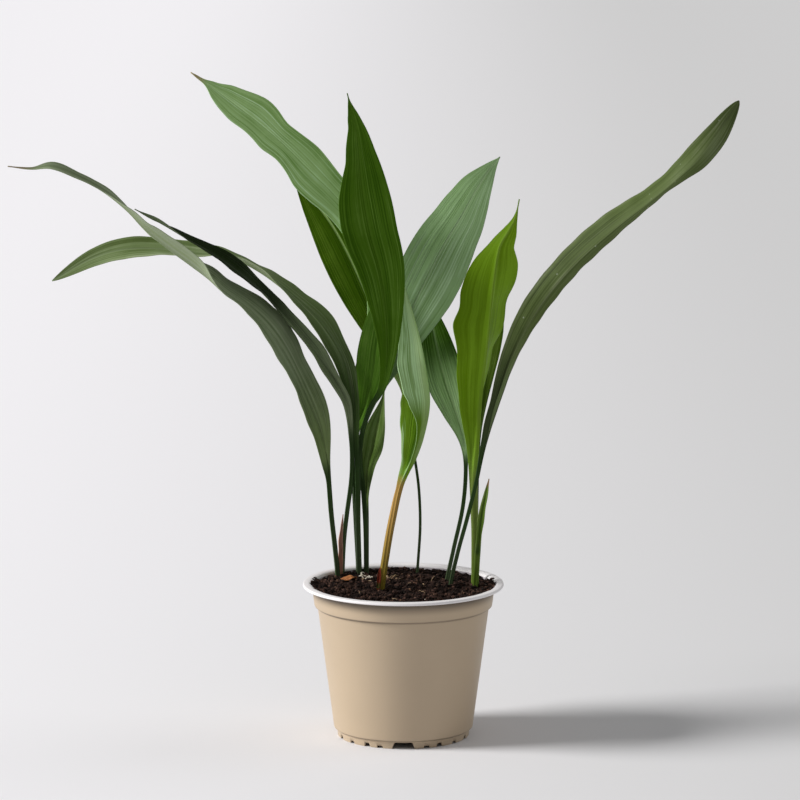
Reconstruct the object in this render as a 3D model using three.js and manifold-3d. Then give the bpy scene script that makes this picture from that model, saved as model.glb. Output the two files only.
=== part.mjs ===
// A cast iron plant (Aspidistra) in its nursery pot: a thin-walled plastic pot filled with soil, fourteen
// leaves that each stand on a stalk of their own, and the dry and green sheaths at the feet of the stalks.
// Millimetres, +Z up. The origin is on the pot's axis, on the surface that the foot stands on. -Y is the front.
import * as THREE from "three";
import { mergeVertices } from "three/addons/utils/BufferGeometryUtils.js";
import Module from "manifold-3d";

const wasm = await Module();
wasm.setup();

// Pot
const POT_HEIGHT = 116;
const RIM_RADIUS = 75;
const RIM_THICKNESS = 2.6;
const RIM_INNER_RADIUS = 69;
const COLLAR_TOP = { radius: 68, z: 112 };
const COLLAR_FOOT = { radius: 66.5, z: 98.5 };
const BODY_TOP_RADIUS = 64;
const BODY_FOOT_RADIUS = 51.9;
const WALL = 1.4;
const SKIRT_HEIGHT = 5.5;
const SKIRT_TOP_RADIUS = 49.6;
const SKIRT_FOOT_RADIUS = 49;
const FLOOR = 1.6;
const PAD_RADIUS = 14;
const PAD_SLOPE = 4;
const PAD_CLEARANCE = 1.5;
const LIP_CHAMFER = 0.8;
const LIP_ROLL = { in: 1.2, down: 0.6 };
const POT_SECTORS = 48;

// Notches in the skirt, by half of the ring: degrees from the wide notch, with their widths and height.
const WIDE_NOTCH = { top: 12.5, foot: 17, height: 5 };
const TALL_NOTCH = { top: 2, foot: 4.5, height: 2.6 };
const LOW_NOTCH = { top: 3, foot: 3.7, height: 1.5 };
const NOTCH_BELOW = 1;
const NOTCH_DEPTH = 8;
const NOTCHES_PER_QUARTER = [
  [20.7, LOW_NOTCH],
  [33, TALL_NOTCH],
  [50.4, LOW_NOTCH],
  [68.6, TALL_NOTCH],
];

// Drain holes in the floor
const DRAIN_COUNT = 6;
const DRAIN_RADIUS = 4.5;
const DRAIN_CIRCLE = 33;
const DRAIN_SECTORS = 16;

// Soil. Each of its bumps is a wave with a height, a rate along x, a rate along y and a start.
const GAP = 0.35;
const SOIL_EDGE_HEIGHT = 111.8;
const SOIL_MOUND = 1.6;
const SOIL_RINGS = 9;
const SOIL_BUMPS = [
  [0.55, 0.31, 0.27, 1.3],
  [0.55, 0.31, -0.27, 1.3],
  [0.66, 0.13, -0.47, 0.7],
];
const SOIL_CALM_EDGE = 4;

// Stalks and blades
const BURIED = 12;
const HOLE_TOP = 122;
const STALK_DEPTH_RATIO = 1.5;
const BLADE_EDGE = 0.8;
const BLADE_RIB = 1.7;
const TIP_HALF_WIDTH = 0.4;
const STALK_STATIONS = 5;
const BLADE_STATIONS = 16;
const ACROSS = [-1, -0.5, 0, 0.5, 1];
const STEPS = 2;
const FOLD_AT_RIB = 1.3;
const FOLD_AT_MARGIN = 0.7;
const RIB_FALL = 1.5;
const CALM_WIDTH = 0.1;
const LENGTH_DIVISIONS = 400;
const EVEN_SIDE = [[0, 1], [1, 1]];
const FRONT = new THREE.Vector3(0, -1, 0.17).normalize();

// Each blade follows its midrib. A row of the route is x, y, z and the turn in degrees: at 0 the upper face
// looks to the front, at 90 the blade is edge-on, past 90 its underside shows. start, widest and the end of the
// route are lengths along the midrib; half is the half width at the widest place; a larger taper is a longer
// tip. fold holds the angle of each half of the blade, at its foot and at its widest place. wave holds the
// height and length of the waves of the margins. left and right change the half width of that side by a factor,
// in stops of the share of the blade and the factor there.
const LEAVES = [
  {
    name: "leaf_01", stalk: 1.6, start: 70, widest: 180, half: 20, taper: 1.2, fold: [35, 14],
    wave: [0.8, 70],
    left: [[0, 1], [0.04, 1.5], [0.12, 1.1], [0.2, 1], [0.85, 1], [0.91, 1.5], [0.955, 0.7], [1, 1]],
    right: [[0.14, 1], [0.24, 0.78], [0.33, 1], [0.85, 1], [0.91, 1.5], [0.955, 0.7], [1, 1]],
    route: [
      [-49.3, 35, 113, 10], [-51.2, 34.5, 134, 8], [-54, 34, 160, 5], [-57, 32, 197, 0], [-61.5, 30, 224, 15],
      [-71, 26, 250, 45], [-80, 21, 271, 58], [-90, 16, 290, 58], [-103, 10, 309, 62], [-117, 6, 323, 66],
      [-132, 3, 334.5, 72], [-144, 0, 346, 80], [-158, -6, 357.5, 103], [-173, -12, 369.5, 106],
      [-190, -19, 385, 104], [-201, -25, 398, 95], [-217, -30, 412, 78], [-236, -36, 424, 66],
      [-256, -42, 433, 56], [-270, -45, 432, 40], [-287, -48, 434, 30],
    ],
  },
  {
    name: "leaf_02", stalk: 1.5, start: 80, widest: 230, half: 15, taper: 0.7, fold: [25, 10],
    wave: [0.6, 60],
    right: [[0.1, 1], [0.2, 0.78], [0.27, 0.62], [0.36, 0.95], [0.5, 1]],
    route: [
      [-33, 38, 113, 0], [-34, 38.5, 155, 0], [-34.5, 39.5, 190, 0], [-36, 41.5, 222, 5], [-39, 43.5, 255, 8],
      [-45, 47.5, 278, 20], [-60, 54, 302, 45], [-80, 60, 321, 70], [-107, 67, 341, 84], [-130, 73, 351, 80],
      [-156, 79, 353.5, 66], [-185, 85, 355.5, 52], [-211, 91, 354, 30], [-234, 97, 347, 15],
      [-267, 104, 328, 5],
    ],
  },
  {
    name: "leaf_03", stalk: 1.4, start: 95, widest: 230, half: 13, taper: 1.2, fold: [35, 15],
    wave: [0.6, 55],
    left: [[0.2, 1], [0.34, 1.25], [0.46, 1], [0.86, 1], [0.93, 1.5], [1, 1]],
    right: [
      [0.14, 1], [0.22, 0.75], [0.34, 1.05], [0.42, 0.95], [0.48, 0.75], [0.56, 0.6], [0.7, 0.75], [0.8, 0.85],
      [0.93, 1.5], [1, 1],
    ],
    route: [
      [-46, 43, 113, 0], [-44.8, 43, 139, 0], [-42.6, 42.5, 159, 0], [-39.3, 41.5, 184, 0],
      [-38.5, 39.5, 198, 0], [-39, 36, 218, 5], [-42.5, 32.5, 246, 15], [-50, 31, 261, 30], [-65, 29, 283, 56],
      [-84, 27, 307, 68], [-103, 25, 330, 70], [-128, 22, 353, 58], [-157, 20, 370, 66], [-172, 20, 379, 88],
      [-188, 20, 388, 120], [-199, 20, 394, 130],
    ],
  },
  {
    name: "leaf_04", stalk: 1.5, start: 165, widest: 320, half: 17.5, taper: 1, fold: [25, 8],
    wave: [1.6, 46],
    left: [
      [0.5, 1], [0.58, 1.03], [0.67, 0.84], [0.74, 1.02], [0.79, 1.02], [0.86, 1.25], [0.92, 1.45],
      [0.96, 0.6], [1, 1],
    ],
    right: [
      [0.42, 1], [0.5, 0.8], [0.62, 0.96], [0.7, 0.88], [0.8, 1.4], [0.88, 1.3], [0.93, 0.95], [0.965, 0.6],
      [1, 1],
    ],
    route: [
      [-34, 51.7, 113, 0], [-36, 55, 153, 0], [-38, 58, 200, 0], [-38, 60, 250, 0], [-31, 61, 282, 0],
      [-24, 59, 308, 0], [-23, 55, 334, 5], [-27, 50, 359, 8], [-37, 45, 384, 10], [-52, 39, 403, 14],
      [-71, 32, 423, 14], [-88, 26, 441, 20], [-105, 20, 457, 14], [-122, 15, 471, 8], [-140, 10, 485, 30],
      [-156, 5, 497, 45],
    ],
  },
  {
    name: "leaf_05", stalk: 1.5, start: 125, widest: 298, half: 21, taper: 1.7, fold: [30, 16],
    wave: [0.7, 80],
    left: [[0.4, 1], [0.6, 1.08], [0.8, 1.03], [0.9, 1.28], [0.94, 1.7], [0.97, 2.1], [1, 1.5]],
    right: [[0.5, 1], [0.6, 0.95], [0.8, 0.95], [0.9, 1.05], [0.94, 1.15], [1, 1]],
    route: [
      [-33, 42.5, 113, 0], [-34, 43.5, 150, 0], [-33.5, 44.5, 190, 0], [-31.5, 43, 218, 0],
      [-25.5, 35, 240, 0], [-16, 22, 259, 0], [-12, 11, 283, 4], [-12, 2, 312, 8], [-16, -9, 349, 8],
      [-24, -18, 382, 10], [-29, -28, 412, 12], [-32, -38, 440, 22], [-34.5, -48, 464, 18],
      [-40.5, -58, 488, 10],
    ],
  },
  {
    name: "leaf_06", stalk: 0.85, start: 120, widest: 245, half: 20.5, taper: 0.9, fold: [20, 8],
    wave: [0.7, 70],
    route: [
      [10.5, 40, 113, 0], [12.7, 42, 150, 0], [11.7, 46, 178, 0], [8.7, 51, 200, 0], [3.5, 59, 227, 0],
      [0, 66.5, 252, 0], [-11.5, 72.5, 281, 0], [-25, 77, 314, 0], [-39, 81, 346, 0], [-53, 84, 372, 0],
      [-67, 87, 391, 0], [-82, 90, 408, 0],
    ],
  },
  {
    name: "leaf_07", stalk: 1.4, start: 42, widest: 97, half: 10.3, taper: 1.8, fold: [45, 32],
    wave: [0.4, 40],
    route: [
      [-28, 47.5, 113, -15], [-28, 50, 148, -15], [-28, 53.5, 180, -15], [-26.6, 56.5, 194, -15],
      [-23, 59.5, 208, -15], [-20, 62, 222, -15], [-16.8, 63.5, 236, -15], [-14, 64.5, 252, -15],
    ],
  },
  {
    name: "leaf_08", stalk: 1.4, start: 100, widest: 165, half: 14, taper: 0.9, fold: [25, 12],
    wave: [0.5, 50],
    route: [
      [-33.5, 47, 113, 0], [-35, 48.5, 154, 0], [-37, 50, 195, -5], [-35, 49, 222, -10], [-28, 47, 243, -20],
      [-23, 47, 264, -20], [-20, 47, 287, -15], [-17, 47, 310, -5], [-12, 45, 334, 0],
    ],
  },
  {
    name: "leaf_09", stalk: 2, start: 73, widest: 150, half: 21, taper: 0.7, fold: [55, 66],
    wave: [0.4, 60],
    left: [[0, 1], [0.1, 1.15], [0.2, 1.2], [0.3, 1.12], [0.42, 1], [0.6, 0.9], [1, 0.9]],
    right: [
      [0, 1], [0.12, 0.7], [0.24, 0.5], [0.33, 0.58], [0.44, 1], [0.5, 1.08], [0.64, 1.1], [0.8, 0.95], [1, 1],
    ],
    route: [
      [-16.8, -20, 113, 0], [-13.5, -18, 137, 0], [-8.5, -14, 166, -10], [-2, -9, 193, -30], [7, -4, 210, -48],
      [14, 2, 228, -60], [18, 8, 250, -74], [15.7, 14, 272, -84], [12, 20, 294, -90], [7, 25, 314, -90],
      [1, 28, 334, -90],
    ],
  },
  {
    name: "leaf_10", stalk: 1.5, start: 105, widest: 245, half: 24.5, taper: 1.05, fold: [25, 10],
    wave: [0.8, 80],
    left: [[0.4, 1], [0.55, 0.95], [0.72, 0.95], [0.82, 1.04], [0.9, 1.16], [1, 1]],
    right: [[0.1, 1], [0.25, 1.12], [0.5, 1.1], [0.8, 1.05], [1, 1]],
    route: [
      [-28, 42, 113, 0], [-28.5, 44, 150, 0], [-30.5, 47, 180, 0], [-32.5, 50, 200, 0], [-31.5, 52, 218, 0],
      [-25, 54, 240, 0], [-17, 55, 261, 0], [-7, 54, 285, 0], [4, 51, 310, -4], [17, 47, 337, -8],
      [30, 43, 363, -10], [43, 39, 385, -14], [54, 34, 406, -10], [64, 29, 422.5, 0], [71.5, 26, 432, 0],
    ],
  },
  {
    name: "leaf_11", stalk: 2.3, start: 62, widest: 208, half: 22.5, taper: 2.1, fold: [40, 25],
    wave: [1.2, 40],
    left: [
      [0.1, 1], [0.33, 1.25], [0.48, 1.12], [0.56, 1.16], [0.63, 1.03], [0.69, 1.13], [0.78, 1.25],
      [0.84, 1.2], [0.9, 1.4], [0.95, 1], [1, 1],
    ],
    right: [
      [0.1, 1], [0.33, 1.2], [0.48, 1.1], [0.57, 1.2], [0.635, 1.02], [0.69, 1.1], [0.78, 1.15], [0.84, 0.95],
      [0.9, 1], [0.95, 1], [1, 1],
    ],
    route: [
      [53, 7, 113, 200], [53, 6, 150, 205], [52, 4, 188, 222], [54, 1, 225, 234], [57, -3, 262, 232],
      [61, -7, 296, 225], [64, -10, 325, 214], [67, -12, 350, 194], [71, -14, 371, 166], [77, -15, 382, 166],
      [82, -16, 392, 170], [85, -17, 406, 170],
    ],
  },
  {
    name: "leaf_12", stalk: 1.15, start: 85, widest: 290, half: 17, taper: 0.6, fold: [45, 16],
    wave: [0.6, 90],
    left: [[0, 1], [0.06, 1.4], [0.11, 1.5], [0.18, 1], [0.3, 0.97]],
    right: [[0.55, 1], [0.66, 0.74], [0.76, 0.95], [0.85, 1]],
    route: [
      [35, -4, 113, 0], [40.5, -7, 140, 0], [47, -10, 165, 0], [53.5, -12, 192, 0], [59.5, -14, 222, -8],
      [67.5, -17, 252, -20], [80, -22, 290, -34], [99, -28, 327, -47], [124, -34, 359, -51],
      [154, -40, 387, -57], [181, -45, 409, -64], [198, -49, 424, -60], [212, -52, 438, -42],
      [226, -55, 457, -18], [235, -58, 472, 0], [242, -60, 483, 0],
    ],
  },
  {
    name: "leaf_13", stalk: 1.2, start: 85, widest: 160, half: 14.5, taper: 1, fold: [30, 12],
    wave: [0.5, 60],
    route: [
      [32.5, 11, 113, 0], [37.5, 13, 138, 0], [44.5, 17, 170, 0], [46.7, 22, 197, 0], [45.5, 28, 218, 0],
      [38.5, 38, 240, 0], [31, 47, 262, 0], [25, 56, 286, 0], [20, 63, 308, 0], [16, 68, 324, 0],
    ],
  },
  {
    name: "leaf_14", stalk: 1.3, start: 100, widest: 185, half: 10, taper: 1, fold: [25, 12],
    wave: [0.5, 50],
    route: [
      [54.5, 24, 113, 0], [54.5, 24, 150, 0], [55.5, 25, 205, 0], [57, 27, 232, 0], [60, 30, 264, 0],
      [64, 33, 294, 0], [67, 36, 314, 0], [69, 39, 335, 0],
    ],
  },
];

// Sheaths at the feet of the stalks, made as the blades are.
const SHEATHS = [
  {
    name: "sheath_dry", stalk: 1.2, start: 2, widest: 14, half: 1.8, taper: 0.7, fold: [40, 30],
    wave: [0.3, 14],
    route: [[-47, 39, 113, 10], [-47.2, 39, 130, 10], [-46.8, 38.8, 146, 30], [-45.3, 38.3, 160, 60]],
  },
  {
    name: "sheath_strip", stalk: 1.1, start: 2, widest: 9, half: 1.4, taper: 0.6, fold: [25, 20],
    wave: [0.2, 9],
    route: [[-19.7, -17, 113, -20], [-19, -16.7, 121, -20], [-17.7, -16, 131, -30]],
  },
  {
    name: "sheath_green", stalk: 1.8, start: 20, widest: 55, half: 2.8, taper: 0.9, fold: [45, 40],
    wave: [0.2, 30],
    route: [
      [54, -1.5, 113, 0], [55, -3, 135, 0], [57.5, -4.5, 163, -10], [61, -5.5, 181, -25],
      [63.5, -6, 195.5, -30],
    ],
  },
];
const COLOURS = {
  pot: 0xc8b490,
  soil: 0x2b2220,
  leaf: 0x2f5a24,
  young_leaf: 0x6a9a2a,
  sheath: 0x9a7a52,
};
const YOUNG = ["leaf_09", "leaf_11"];

function material(colour, roughness) {
  return new THREE.MeshStandardMaterial({ color: colour, roughness, metalness: 0 });
}

function smooth(value) {
  const t = Math.min(1, Math.max(0, value));
  return t * t * (3 - 2 * t);
}

function between(from, to, share) {
  return from + (to - from) * share;
}

// The geometry with its equal corners joined and its flat triangles dropped.
function joined(geometry) {
  geometry.deleteAttribute("normal");
  geometry.deleteAttribute("uv");
  const merged = mergeVertices(geometry, 1e-4);
  const kept = [];
  const index = merged.index.array;
  for (let i = 0; i < index.length; i += 3) {
    const [a, b, c] = index.slice(i, i + 3);
    if (a !== b && b !== c && c !== a) {
      kept.push(a, b, c);
    }
  }
  merged.setIndex(kept);
  return merged;
}

function toManifold(geometry) {
  const merged = joined(geometry);
  return new wasm.Manifold(new wasm.Mesh({
    numProp: 3,
    vertProperties: new Float32Array(merged.attributes.position.array),
    triVerts: new Uint32Array(merged.index.array),
  }));
}

function toGeometry(manifold) {
  const solid = manifold.getMesh();
  const geometry = new THREE.BufferGeometry();
  geometry.setAttribute("position", new THREE.BufferAttribute(new Float32Array(solid.vertProperties), 3));
  geometry.setIndex(new THREE.BufferAttribute(new Uint32Array(solid.triVerts), 1));
  geometry.computeVertexNormals();
  return geometry;
}

// A lathe about +Z of a profile of [radius, z] that starts and ends on the axis, at its foot first.
function turned(profile) {
  const points = profile.map(([radius, z]) => new THREE.Vector2(radius, z));
  return new THREE.LatheGeometry(points, POT_SECTORS).rotateX(Math.PI / 2);
}

// The radius of the pot's body outside, at a height.
function bodyRadius(z) {
  const rise = (z - SKIRT_HEIGHT) / (COLLAR_FOOT.z - SKIRT_HEIGHT);
  return between(BODY_FOOT_RADIUS, BODY_TOP_RADIUS, rise);
}

// The pot's inner wall from the floor to the rim, moved inwards by a gap.
function innerWall(gap) {
  const floorTop = SKIRT_HEIGHT + FLOOR;
  const shoulder = COLLAR_FOOT.z - WALL;
  return [
    [bodyRadius(floorTop) - WALL - gap, floorTop + gap],
    [bodyRadius(shoulder) - WALL - gap, shoulder + gap],
    [COLLAR_FOOT.radius - WALL - gap, COLLAR_FOOT.z + WALL + gap],
    [COLLAR_TOP.radius - WALL - gap, COLLAR_TOP.z - gap],
  ];
}

// A cutter for one notch of the skirt, centred on the front and turned by an angle in degrees.
function notchCutter({ top, foot, height }, angle) {
  const outline = new THREE.Shape();
  outline.moveTo(-foot / 2, -NOTCH_BELOW);
  outline.lineTo(foot / 2, -NOTCH_BELOW);
  outline.lineTo(foot / 2, 0);
  outline.lineTo(top / 2, height);
  outline.lineTo(-top / 2, height);
  outline.lineTo(-foot / 2, 0);
  const cutter = new THREE.ExtrudeGeometry(outline, { depth: NOTCH_DEPTH, bevelEnabled: false });
  cutter.rotateX(Math.PI / 2);
  cutter.translate(0, NOTCH_DEPTH / 2 - SKIRT_FOOT_RADIUS, 0);
  cutter.rotateZ(THREE.MathUtils.degToRad(angle));
  return toManifold(cutter);
}

function notchCutters() {
  const cutters = [];
  for (const [front, side] of [[0, 1], [0, -1], [180, 1], [180, -1]]) {
    for (const [angle, notch] of NOTCHES_PER_QUARTER) {
      cutters.push(notchCutter(notch, front + side * angle));
    }
  }
  for (const angle of [0, 180]) {
    cutters.push(notchCutter(WIDE_NOTCH, angle));
  }
  for (const angle of [90, 270]) {
    cutters.push(notchCutter(LOW_NOTCH, angle));
  }
  return cutters;
}

function drainCutters() {
  const cutters = [];
  for (let i = 0; i < DRAIN_COUNT; i += 1) {
    const angle = (2 * Math.PI * i) / DRAIN_COUNT;
    const hole = new THREE.CylinderGeometry(DRAIN_RADIUS, DRAIN_RADIUS, 4 * FLOOR, DRAIN_SECTORS);
    hole.rotateX(Math.PI / 2);
    hole.translate(DRAIN_CIRCLE * Math.sin(angle), DRAIN_CIRCLE * Math.cos(angle), SKIRT_HEIGHT + FLOOR / 2);
    cutters.push(toManifold(hole));
  }
  return cutters;
}

function potGeometry() {
  const lipFoot = POT_HEIGHT - RIM_THICKNESS;
  const profile = [
    [0, PAD_CLEARANCE],
    [PAD_RADIUS, PAD_CLEARANCE],
    [PAD_RADIUS + PAD_SLOPE, SKIRT_HEIGHT],
    [SKIRT_TOP_RADIUS - WALL, SKIRT_HEIGHT],
    [SKIRT_FOOT_RADIUS - WALL, 0],
    [SKIRT_FOOT_RADIUS, 0],
    [SKIRT_TOP_RADIUS, SKIRT_HEIGHT],
    [BODY_FOOT_RADIUS, SKIRT_HEIGHT],
    [BODY_TOP_RADIUS, COLLAR_FOOT.z],
    [COLLAR_FOOT.radius, COLLAR_FOOT.z],
    [COLLAR_TOP.radius, COLLAR_TOP.z],
    [RIM_INNER_RADIUS, lipFoot],
    [RIM_RADIUS - LIP_CHAMFER, lipFoot],
    [RIM_RADIUS, lipFoot + LIP_CHAMFER],
    [RIM_RADIUS, POT_HEIGHT - LIP_CHAMFER],
    [RIM_RADIUS - LIP_CHAMFER, POT_HEIGHT],
    [RIM_INNER_RADIUS, POT_HEIGHT],
    [RIM_INNER_RADIUS - LIP_ROLL.in, POT_HEIGHT - LIP_ROLL.down],
    ...innerWall(0).reverse(),
    [PAD_RADIUS + PAD_SLOPE, SKIRT_HEIGHT + FLOOR],
    [PAD_RADIUS, PAD_CLEARANCE + FLOOR],
    [0, PAD_CLEARANCE + FLOOR],
  ];
  let pot = toManifold(turned(profile));
  for (const cutter of [...notchCutters(), ...drainCutters()]) {
    pot = pot.subtract(cutter);
  }
  return toGeometry(pot);
}

// The crumbly top of the soil: a low mound with bumps that fade out at the wall.
function soilHeight(x, y) {
  const out = Math.hypot(x, y) / RIM_INNER_RADIUS;
  let bumps = 0;
  for (const [height, alongX, alongY, start] of SOIL_BUMPS) {
    bumps += height * Math.sin(x * alongX + y * alongY + start);
  }
  return SOIL_EDGE_HEIGHT + SOIL_MOUND * (1 - out * out) + bumps * smooth(SOIL_CALM_EDGE * (1 - out));
}

// The soil fills the pot, with a hole for each stalk.
function soilGeometry(stems) {
  const wall = innerWall(GAP);
  const edge = wall.at(-1)[0];
  const above = SOIL_EDGE_HEIGHT + SOIL_MOUND;
  const profile = [
    [0, PAD_CLEARANCE + FLOOR + GAP],
    [PAD_RADIUS - GAP / 2, PAD_CLEARANCE + FLOOR + GAP],
    [PAD_RADIUS + PAD_SLOPE - GAP / 2, SKIRT_HEIGHT + FLOOR + GAP],
    ...wall.slice(0, -1),
    [edge, SOIL_EDGE_HEIGHT],
  ];
  for (let ring = SOIL_RINGS - 1; ring >= 0; ring -= 1) {
    profile.push([(edge * ring) / SOIL_RINGS, above]);
  }
  const geometry = joined(turned(profile));
  const position = geometry.attributes.position;
  for (let i = 0; i < position.count; i += 1) {
    if (position.getZ(i) > SOIL_EDGE_HEIGHT + SOIL_MOUND / 2) {
      position.setZ(i, soilHeight(position.getX(i), position.getY(i)));
    }
  }
  let soil = toManifold(geometry);
  for (const stem of stems) {
    soil = soil.subtract(toManifold(blade(stem, { grow: GAP, top: HOLE_TOP })));
  }
  return toGeometry(soil);
}

// A smooth curve through the turns of a route, at the place t of 0 to 1 that its points are at too.
function turnAt(turns, t) {
  const place = t * (turns.length - 1);
  const i = Math.min(Math.floor(place), turns.length - 2);
  const f = place - i;
  const [before, from] = [turns[Math.max(i - 1, 0)], turns[i]];
  const [to, after] = [turns[i + 1], turns[Math.min(i + 2, turns.length - 1)]];
  const out = (to - before) / 2;
  const into = (after - from) / 2;
  const bend = 2 * (from - to) + out + into;
  return from + out * f + (3 * (to - from) - 2 * out - into) * f * f + bend * f * f * f;
}

// The factor that the stops of one side of a leaf put on its half width, at a share of the blade.
function sideFactor(stops, share) {
  const later = stops.findIndex(([at]) => at > share);
  const i = later < 0 ? stops.length - 1 : Math.max(1, later);
  const [[from, before], [to, after]] = [stops[i - 1], stops[i]];
  return between(before, after, smooth((share - from) / (to - from)));
}

// The half width of a leaf on one side, its left or its right, at a length along it.
function halfWidth(leaf, side, length, total) {
  const factor = sideFactor(leaf[side] ?? EVEN_SIDE, (length - leaf.start) / (total - leaf.start));
  if (length < leaf.widest) {
    const rise = smooth((length - leaf.start) / (leaf.widest - leaf.start));
    return between(leaf.stalk, leaf.half, rise) * factor;
  }
  const out = (length - leaf.widest) / (total - leaf.widest);
  return Math.max(TIP_HALF_WIDTH, leaf.half * Math.max(0, 1 - out * out) ** leaf.taper * factor);
}

// Points across one half of a section, from the midrib to the margin: how far out, how far up, and the angle
// that the face has there.
function halfSection(width, fold) {
  const points = [];
  let across = 0;
  let up = 0;
  for (let step = 1; step <= STEPS; step += 1) {
    const angle = fold * between(FOLD_AT_RIB, FOLD_AT_MARGIN, (step - 0.5) / STEPS);
    across += (width / STEPS) * Math.cos(angle);
    up += (width / STEPS) * Math.sin(angle);
    points.push([across, up, step === STEPS ? fold * FOLD_AT_MARGIN : fold]);
  }
  return points;
}

// The midrib's curve, its place and its directions at a length along it: along the leaf, out of its upper face
// and to its right.
function frameAt(curve, turns, share) {
  const t = curve.getUtoTmapping(Math.min(1, share));
  const along = curve.getTangent(t);
  const facing = FRONT.clone().addScaledVector(along, -FRONT.dot(along)).normalize();
  const side = new THREE.Vector3().crossVectors(along, facing);
  const roll = THREE.MathUtils.degToRad(turnAt(turns, t));
  const normal = facing.clone().multiplyScalar(Math.cos(roll)).addScaledVector(side, Math.sin(roll));
  const right = side.clone().multiplyScalar(Math.cos(roll)).addScaledVector(facing, -Math.sin(roll));
  return { centre: curve.getPoint(t), normal, right };
}

// The points of one section, its upper row and then its lower row.
function section(leaf, { centre, normal, right }, length, total, grow) {
  const opened = smooth((length - leaf.start) / (leaf.widest - leaf.start));
  const ended = smooth((length - leaf.widest) / (total - leaf.widest));
  const fold = THREE.MathUtils.degToRad(between(leaf.fold[0], leaf.fold[1], opened));
  const rib = between(leaf.stalk * STALK_DEPTH_RATIO, between(BLADE_RIB, BLADE_EDGE, ended), opened);
  const upper = [];
  const lower = [];
  for (const u of ACROSS) {
    const hand = Math.sign(u);
    const width = halfWidth(leaf, hand > 0 ? "right" : "left", length, total);
    const half = halfSection(width, fold);
    const calm = Math.min(1, Math.max(0, width / leaf.half - CALM_WIDTH));
    const [across, up, angle] = u === 0 ? [0, 0, 0] : half[Math.abs(u) * STEPS - 1];
    const face = normal.clone().multiplyScalar(Math.cos(angle)).addScaledVector(right, -hand * Math.sin(angle));
    const phase = (2 * Math.PI * length) / leaf.wave[1] + hand;
    const wave = leaf.wave[0] * Math.sin(phase) * u * u * calm;
    const thick = between(BLADE_EDGE, rib, (1 - Math.abs(u)) ** RIB_FALL);
    const point = centre.clone().addScaledVector(right, hand * (across + grow)).addScaledVector(normal, up);
    upper.push(point.clone().addScaledVector(face, wave + grow));
    lower.push(point.clone().addScaledVector(face, wave - thick - grow));
  }
  return [...upper, ...lower];
}

// The closed solid of a stalk with its blade. grow makes it thicker on all sides, as a cutter, and top ends it
// at a height.
function blade(leaf, { grow = 0, top = Infinity } = {}) {
  const [x, y, z, turn] = leaf.route[0];
  const buried = BURIED + grow;
  const rows = [[x, y, z - buried, turn], ...leaf.route];
  const curve = new THREE.CatmullRomCurve3(rows.map((row) => new THREE.Vector3(...row.slice(0, 3))));
  curve.arcLengthDivisions = LENGTH_DIVISIONS;
  const turns = rows.map((row) => row[3]);
  const total = curve.getLength() - buried;
  const lengths = [];
  for (let i = 0; i < STALK_STATIONS; i += 1) {
    lengths.push(between(-buried, leaf.start, i / STALK_STATIONS));
  }
  for (let i = 0; i <= BLADE_STATIONS; i += 1) {
    lengths.push(between(leaf.start, total, i / BLADE_STATIONS));
  }
  const points = [];
  let sections = 0;
  for (const length of lengths) {
    const frame = frameAt(curve, turns, (length + buried) / (total + buried));
    points.push(...section(leaf, frame, length, total, grow));
    sections += 1;
    if (frame.centre.z > top) {
      break;
    }
  }
  return ribbon(points, sections);
}

// The closed surface over sections that are each an upper row and a lower row, split alike on both faces.
function ribbon(points, sections) {
  const count = ACROSS.length;
  const faces = [];
  const at = (place, i) => place * 2 * count + i;
  for (let place = 0; place < sections - 1; place += 1) {
    for (let i = 0; i < count - 1; i += 1) {
      const [a, b] = [at(place, i), at(place, i + 1)];
      const [c, d] = [at(place + 1, i), at(place + 1, i + 1)];
      faces.push(a, b, d, a, d, c);
      faces.push(a + count, d + count, b + count, a + count, c + count, d + count);
    }
    for (const [i, flip] of [[0, false], [count - 1, true]]) {
      const [a, b] = [at(place, i), at(place, i) + count];
      const [c, d] = [at(place + 1, i), at(place + 1, i) + count];
      faces.push(...(flip ? [a, b, d, a, d, c] : [a, d, b, a, c, d]));
    }
  }
  for (const [place, flip] of [[0, false], [sections - 1, true]]) {
    for (let i = 0; i < count - 1; i += 1) {
      const [a, b] = [at(place, i), at(place, i + 1)];
      const [c, d] = [a + count, b + count];
      faces.push(...(flip ? [a, b, d, a, d, c] : [a, d, b, a, c, d]));
    }
  }
  const positions = points.flatMap((point) => point.toArray());
  const geometry = new THREE.BufferGeometry();
  geometry.setAttribute("position", new THREE.BufferAttribute(new Float32Array(positions), 3));
  geometry.setIndex(faces);
  geometry.computeVertexNormals();
  return geometry;
}

function mesh(name, geometry, look) {
  const piece = new THREE.Mesh(geometry, look);
  piece.name = name;
  return piece;
}

const plant = new THREE.Group();
plant.add(mesh("pot", potGeometry(), material(COLOURS.pot, 0.55)));
plant.add(mesh("soil", soilGeometry([...LEAVES, ...SHEATHS]), material(COLOURS.soil, 0.95)));
for (const leaf of LEAVES) {
  const colour = YOUNG.includes(leaf.name) ? COLOURS.young_leaf : COLOURS.leaf;
  plant.add(mesh(leaf.name, blade(leaf), material(colour, 0.45)));
}
for (const sheath of SHEATHS) {
  plant.add(mesh(sheath.name, blade(sheath), material(COLOURS.sheath, 0.8)));
}

export default plant;
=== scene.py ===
"""A potted cast iron plant in Blender: fine leaves, stalks, sheaths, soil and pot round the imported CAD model.

Lengths are in millimetres until a mesh is made, in the frame of the model: +Z up, -Y to the front.
"""

import math

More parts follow.
